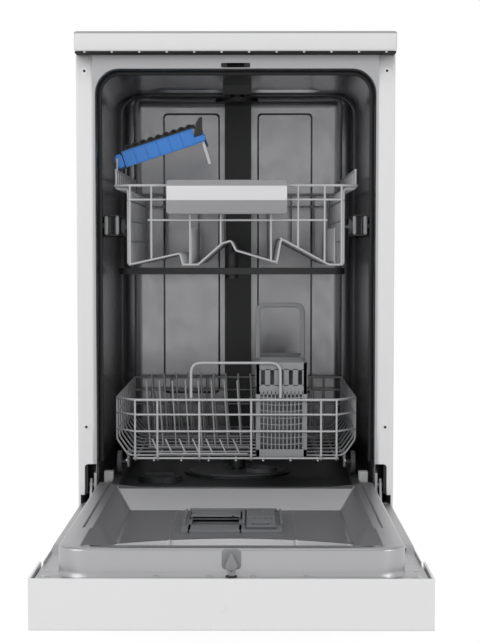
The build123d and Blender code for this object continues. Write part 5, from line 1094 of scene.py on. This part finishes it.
# Plain pressed steel: dull, with fine lines across the tongue.
catch_steel = rolled_steel("plain_catch_steel", "#8C8C8E", 0.45, (25, 900, 900), 0.02)
solid_piece("door_catch_tongue", "door", catch_steel,
            [tongue, slab((-3.2, 3.2), TONGUE_Y, (182.6, 190), "Y", 0.6, 0.3, 3)],
            replaces=["door_strike"])
solid_piece("door_catch_slot_shade", "door", black_plastic,
            [slab((-6.6, 6.4), (-574.4, -566.2), (183.4, 184.35), "Z", 3.6, 0.2)])

# Upper rails: bent steel channels that roll on the tub's rollers. Grey moulded guards close their
# front ends, either side of the rollers.
GUARD_Y, GUARD_Z, GUARD_INNER, GUARD_OUTER = (37.4, 41.2), (564.6, 591.4), (167.2, 172.2), (182.4, 188.0)
STRAP_Y, STRAP_Z = (39.8, 42.4), ((562.6, 565.2), (590.8, 593.4))
# Rolled steel dulled by detergent: dark, with lines along the channel.
rail_steel = rolled_steel("dull_rail_steel", "#505052", 0.42, (900, 25, 900), 0.03)
finished(rail_steel, "upper_rails")
# Acetal: a pale, waxy grey that turns smooth where it rolls.
roller_grey = grained("roller_acetal", "#9C9D9F", 0.36, grit=0.7, depth=0.03)
guards, straps = [], []
for side in (-1, 1):
    guards += [slab(sided(side, x), GUARD_Y, GUARD_Z, "Y", 2.5, 1.2) for x in (GUARD_INNER, GUARD_OUTER)]
    straps += [slab(sided(side, (GUARD_INNER[0] + 1, GUARD_OUTER[1])), STRAP_Y, z, "Y", 1, 0.3, 3)
               for z in STRAP_Z]
solid_piece("rail_end_guards", "upper_rails", roller_grey, guards)
solid_piece("rail_end_straps", "upper_rails", black_plastic, straps)

# Rollers: turned grey acetal on short steel axles. The outer pairs are fixed to the tub and the
# inner ones to the upper rack, and the rails run between them.
ROLLERS = (("tub_rollers_front", 60.0, (182.0, 188.0), (181.4, 197.0)),
           ("tub_rollers_rear", 130.0, (182.0, 188.0), (181.4, 197.0)),
           ("basket_rollers_front", UP_ROLLER_Y[0], (172.5, 178.5), (158.4, 179.1)),
           ("basket_rollers_rear", UP_ROLLER_Y[1], (172.5, 178.5), (158.4, 179.1)))
for node, y, tread, axle in ROLLERS:
    rolling_pair(node, roller_grey, 13.0, y, 578.0, tread, axle)

# Studio: a plain pale floor and backdrop that the camera sees as white, two soft lamps in front
# and one above, and the photograph's own point of view.
CAMERA_PLACE, CAMERA_TURN, CAMERA_LEAN = (21.08, -2503.8, 546.09), 0.338, 4.013
LENS, SHIFT, PAPER_LIFT = 99.99, 0.08, 0.93
floor_mesh = bpy.data.meshes.new("floor")
floor_mesh.from_pydata([(x, y, 0) for x, y in ((-6, -6), (6, -6), (6, 6), (-6, 6))], [], [(0, 1, 2, 3)])
floor = bpy.data.objects.new("floor", floor_mesh)
bpy.context.scene.collection.objects.link(floor)


def seen_plainly(tree, rays):
    """1 for a ray from the camera, or one that metal or glass sends on, and 0 for the rest."""
    mirrored = add(tree, "Math", {0: rays.outputs["Is Glossy Ray"], 1: rays.outputs["Is Transmission Ray"]},
                   operation="ADD")
    return add(tree, "Math", {0: rays.outputs["Is Camera Ray"], 1: mirrored.outputs["Value"]},
               operation="ADD", use_clamp=True).outputs["Value"]


# Seamless white paper: the lamps light it for the object, and the camera sees it near white.
paper, tree, shader, _ = surface("white_paper", "#F0F0F0", 0.95)
bright = add(tree, "Emission", {"Strength": 1.04})
rays = add(tree, "LightPath")
share = add(tree, "MapRange", {"Value": seen_plainly(tree, rays), "To Max": PAPER_LIFT})
lifted = add(tree, "MixShader", {0: share.outputs["Result"], 1: shader.outputs["BSDF"],
                                 2: bright.outputs["Emission"]})
tree.links.new(lifted.outputs["Shader"], tree.nodes["Material Output"].inputs["Surface"])
floor_mesh.materials.append(paper)

world = bpy.data.worlds.new("studio")
bpy.context.scene.world = world
world.use_nodes = True
sky = world.node_tree
background = sky.nodes["Background"]
rays = add(sky, "LightPath")
level = add(sky, "MapRange", {"Value": seen_plainly(sky, rays), "To Min": 0.8, "To Max": 1.0})
background.inputs["Color"].default_value = (1, 1, 1, 1)
# The room's ceiling is dimmer than its walls, so what mirrors it is greyer.
way = add(sky, "SeparateXYZ", {"Vector": add(sky, "TexCoord").outputs["Generated"]})
ceiling = add(sky, "MapRange", {"Value": way.outputs["Z"], "From Min": 0.15, "From Max": 0.8, "To Min": 1.0,
                                "To Max": 0.5})
strength = add(sky, "Math", {0: level.outputs["Result"], 1: ceiling.outputs["Result"]}, operation="MULTIPLY")
sky.links.new(strength.outputs["Value"], background.inputs["Strength"])


def lamp(name, place, target, size, watts):
    """A soft square lamp at a place, turned to shine on a target, both in metres."""
    light = bpy.data.lights.new(name, "AREA")
    light.shape, light.size, light.energy = "SQUARE", size, watts
    made = bpy.data.objects.new(name, light)
    bpy.context.scene.collection.objects.link(made)
    made.location = place
    way = mathutils.Vector(target) - mathutils.Vector(place)
    made.rotation_euler = way.to_track_quat("-Z", "Y").to_euler()


lamp("front_left", (-2.2, -2.4, 2.0), (0, -0.1, 0.4), 2.2, 32)
lamp("front_right", (2.3, -2.1, 1.3), (0, -0.1, 0.4), 1.0, 12)
lamp("above", (0.1, -0.2, 2.9), (0, -0.1, 0.4), 2.0, 10)

camera_data = bpy.data.cameras.new("camera")
camera_data.lens, camera_data.shift_y = LENS, SHIFT
camera = bpy.data.objects.new("camera", camera_data)
bpy.context.scene.collection.objects.link(camera)
camera.location = [value * MM for value in CAMERA_PLACE]
camera.rotation_euler = np.radians([90 - CAMERA_LEAN, 0, CAMERA_TURN])
bpy.context.scene.camera = camera
bpy.context.scene.view_settings.view_transform = "Standard"
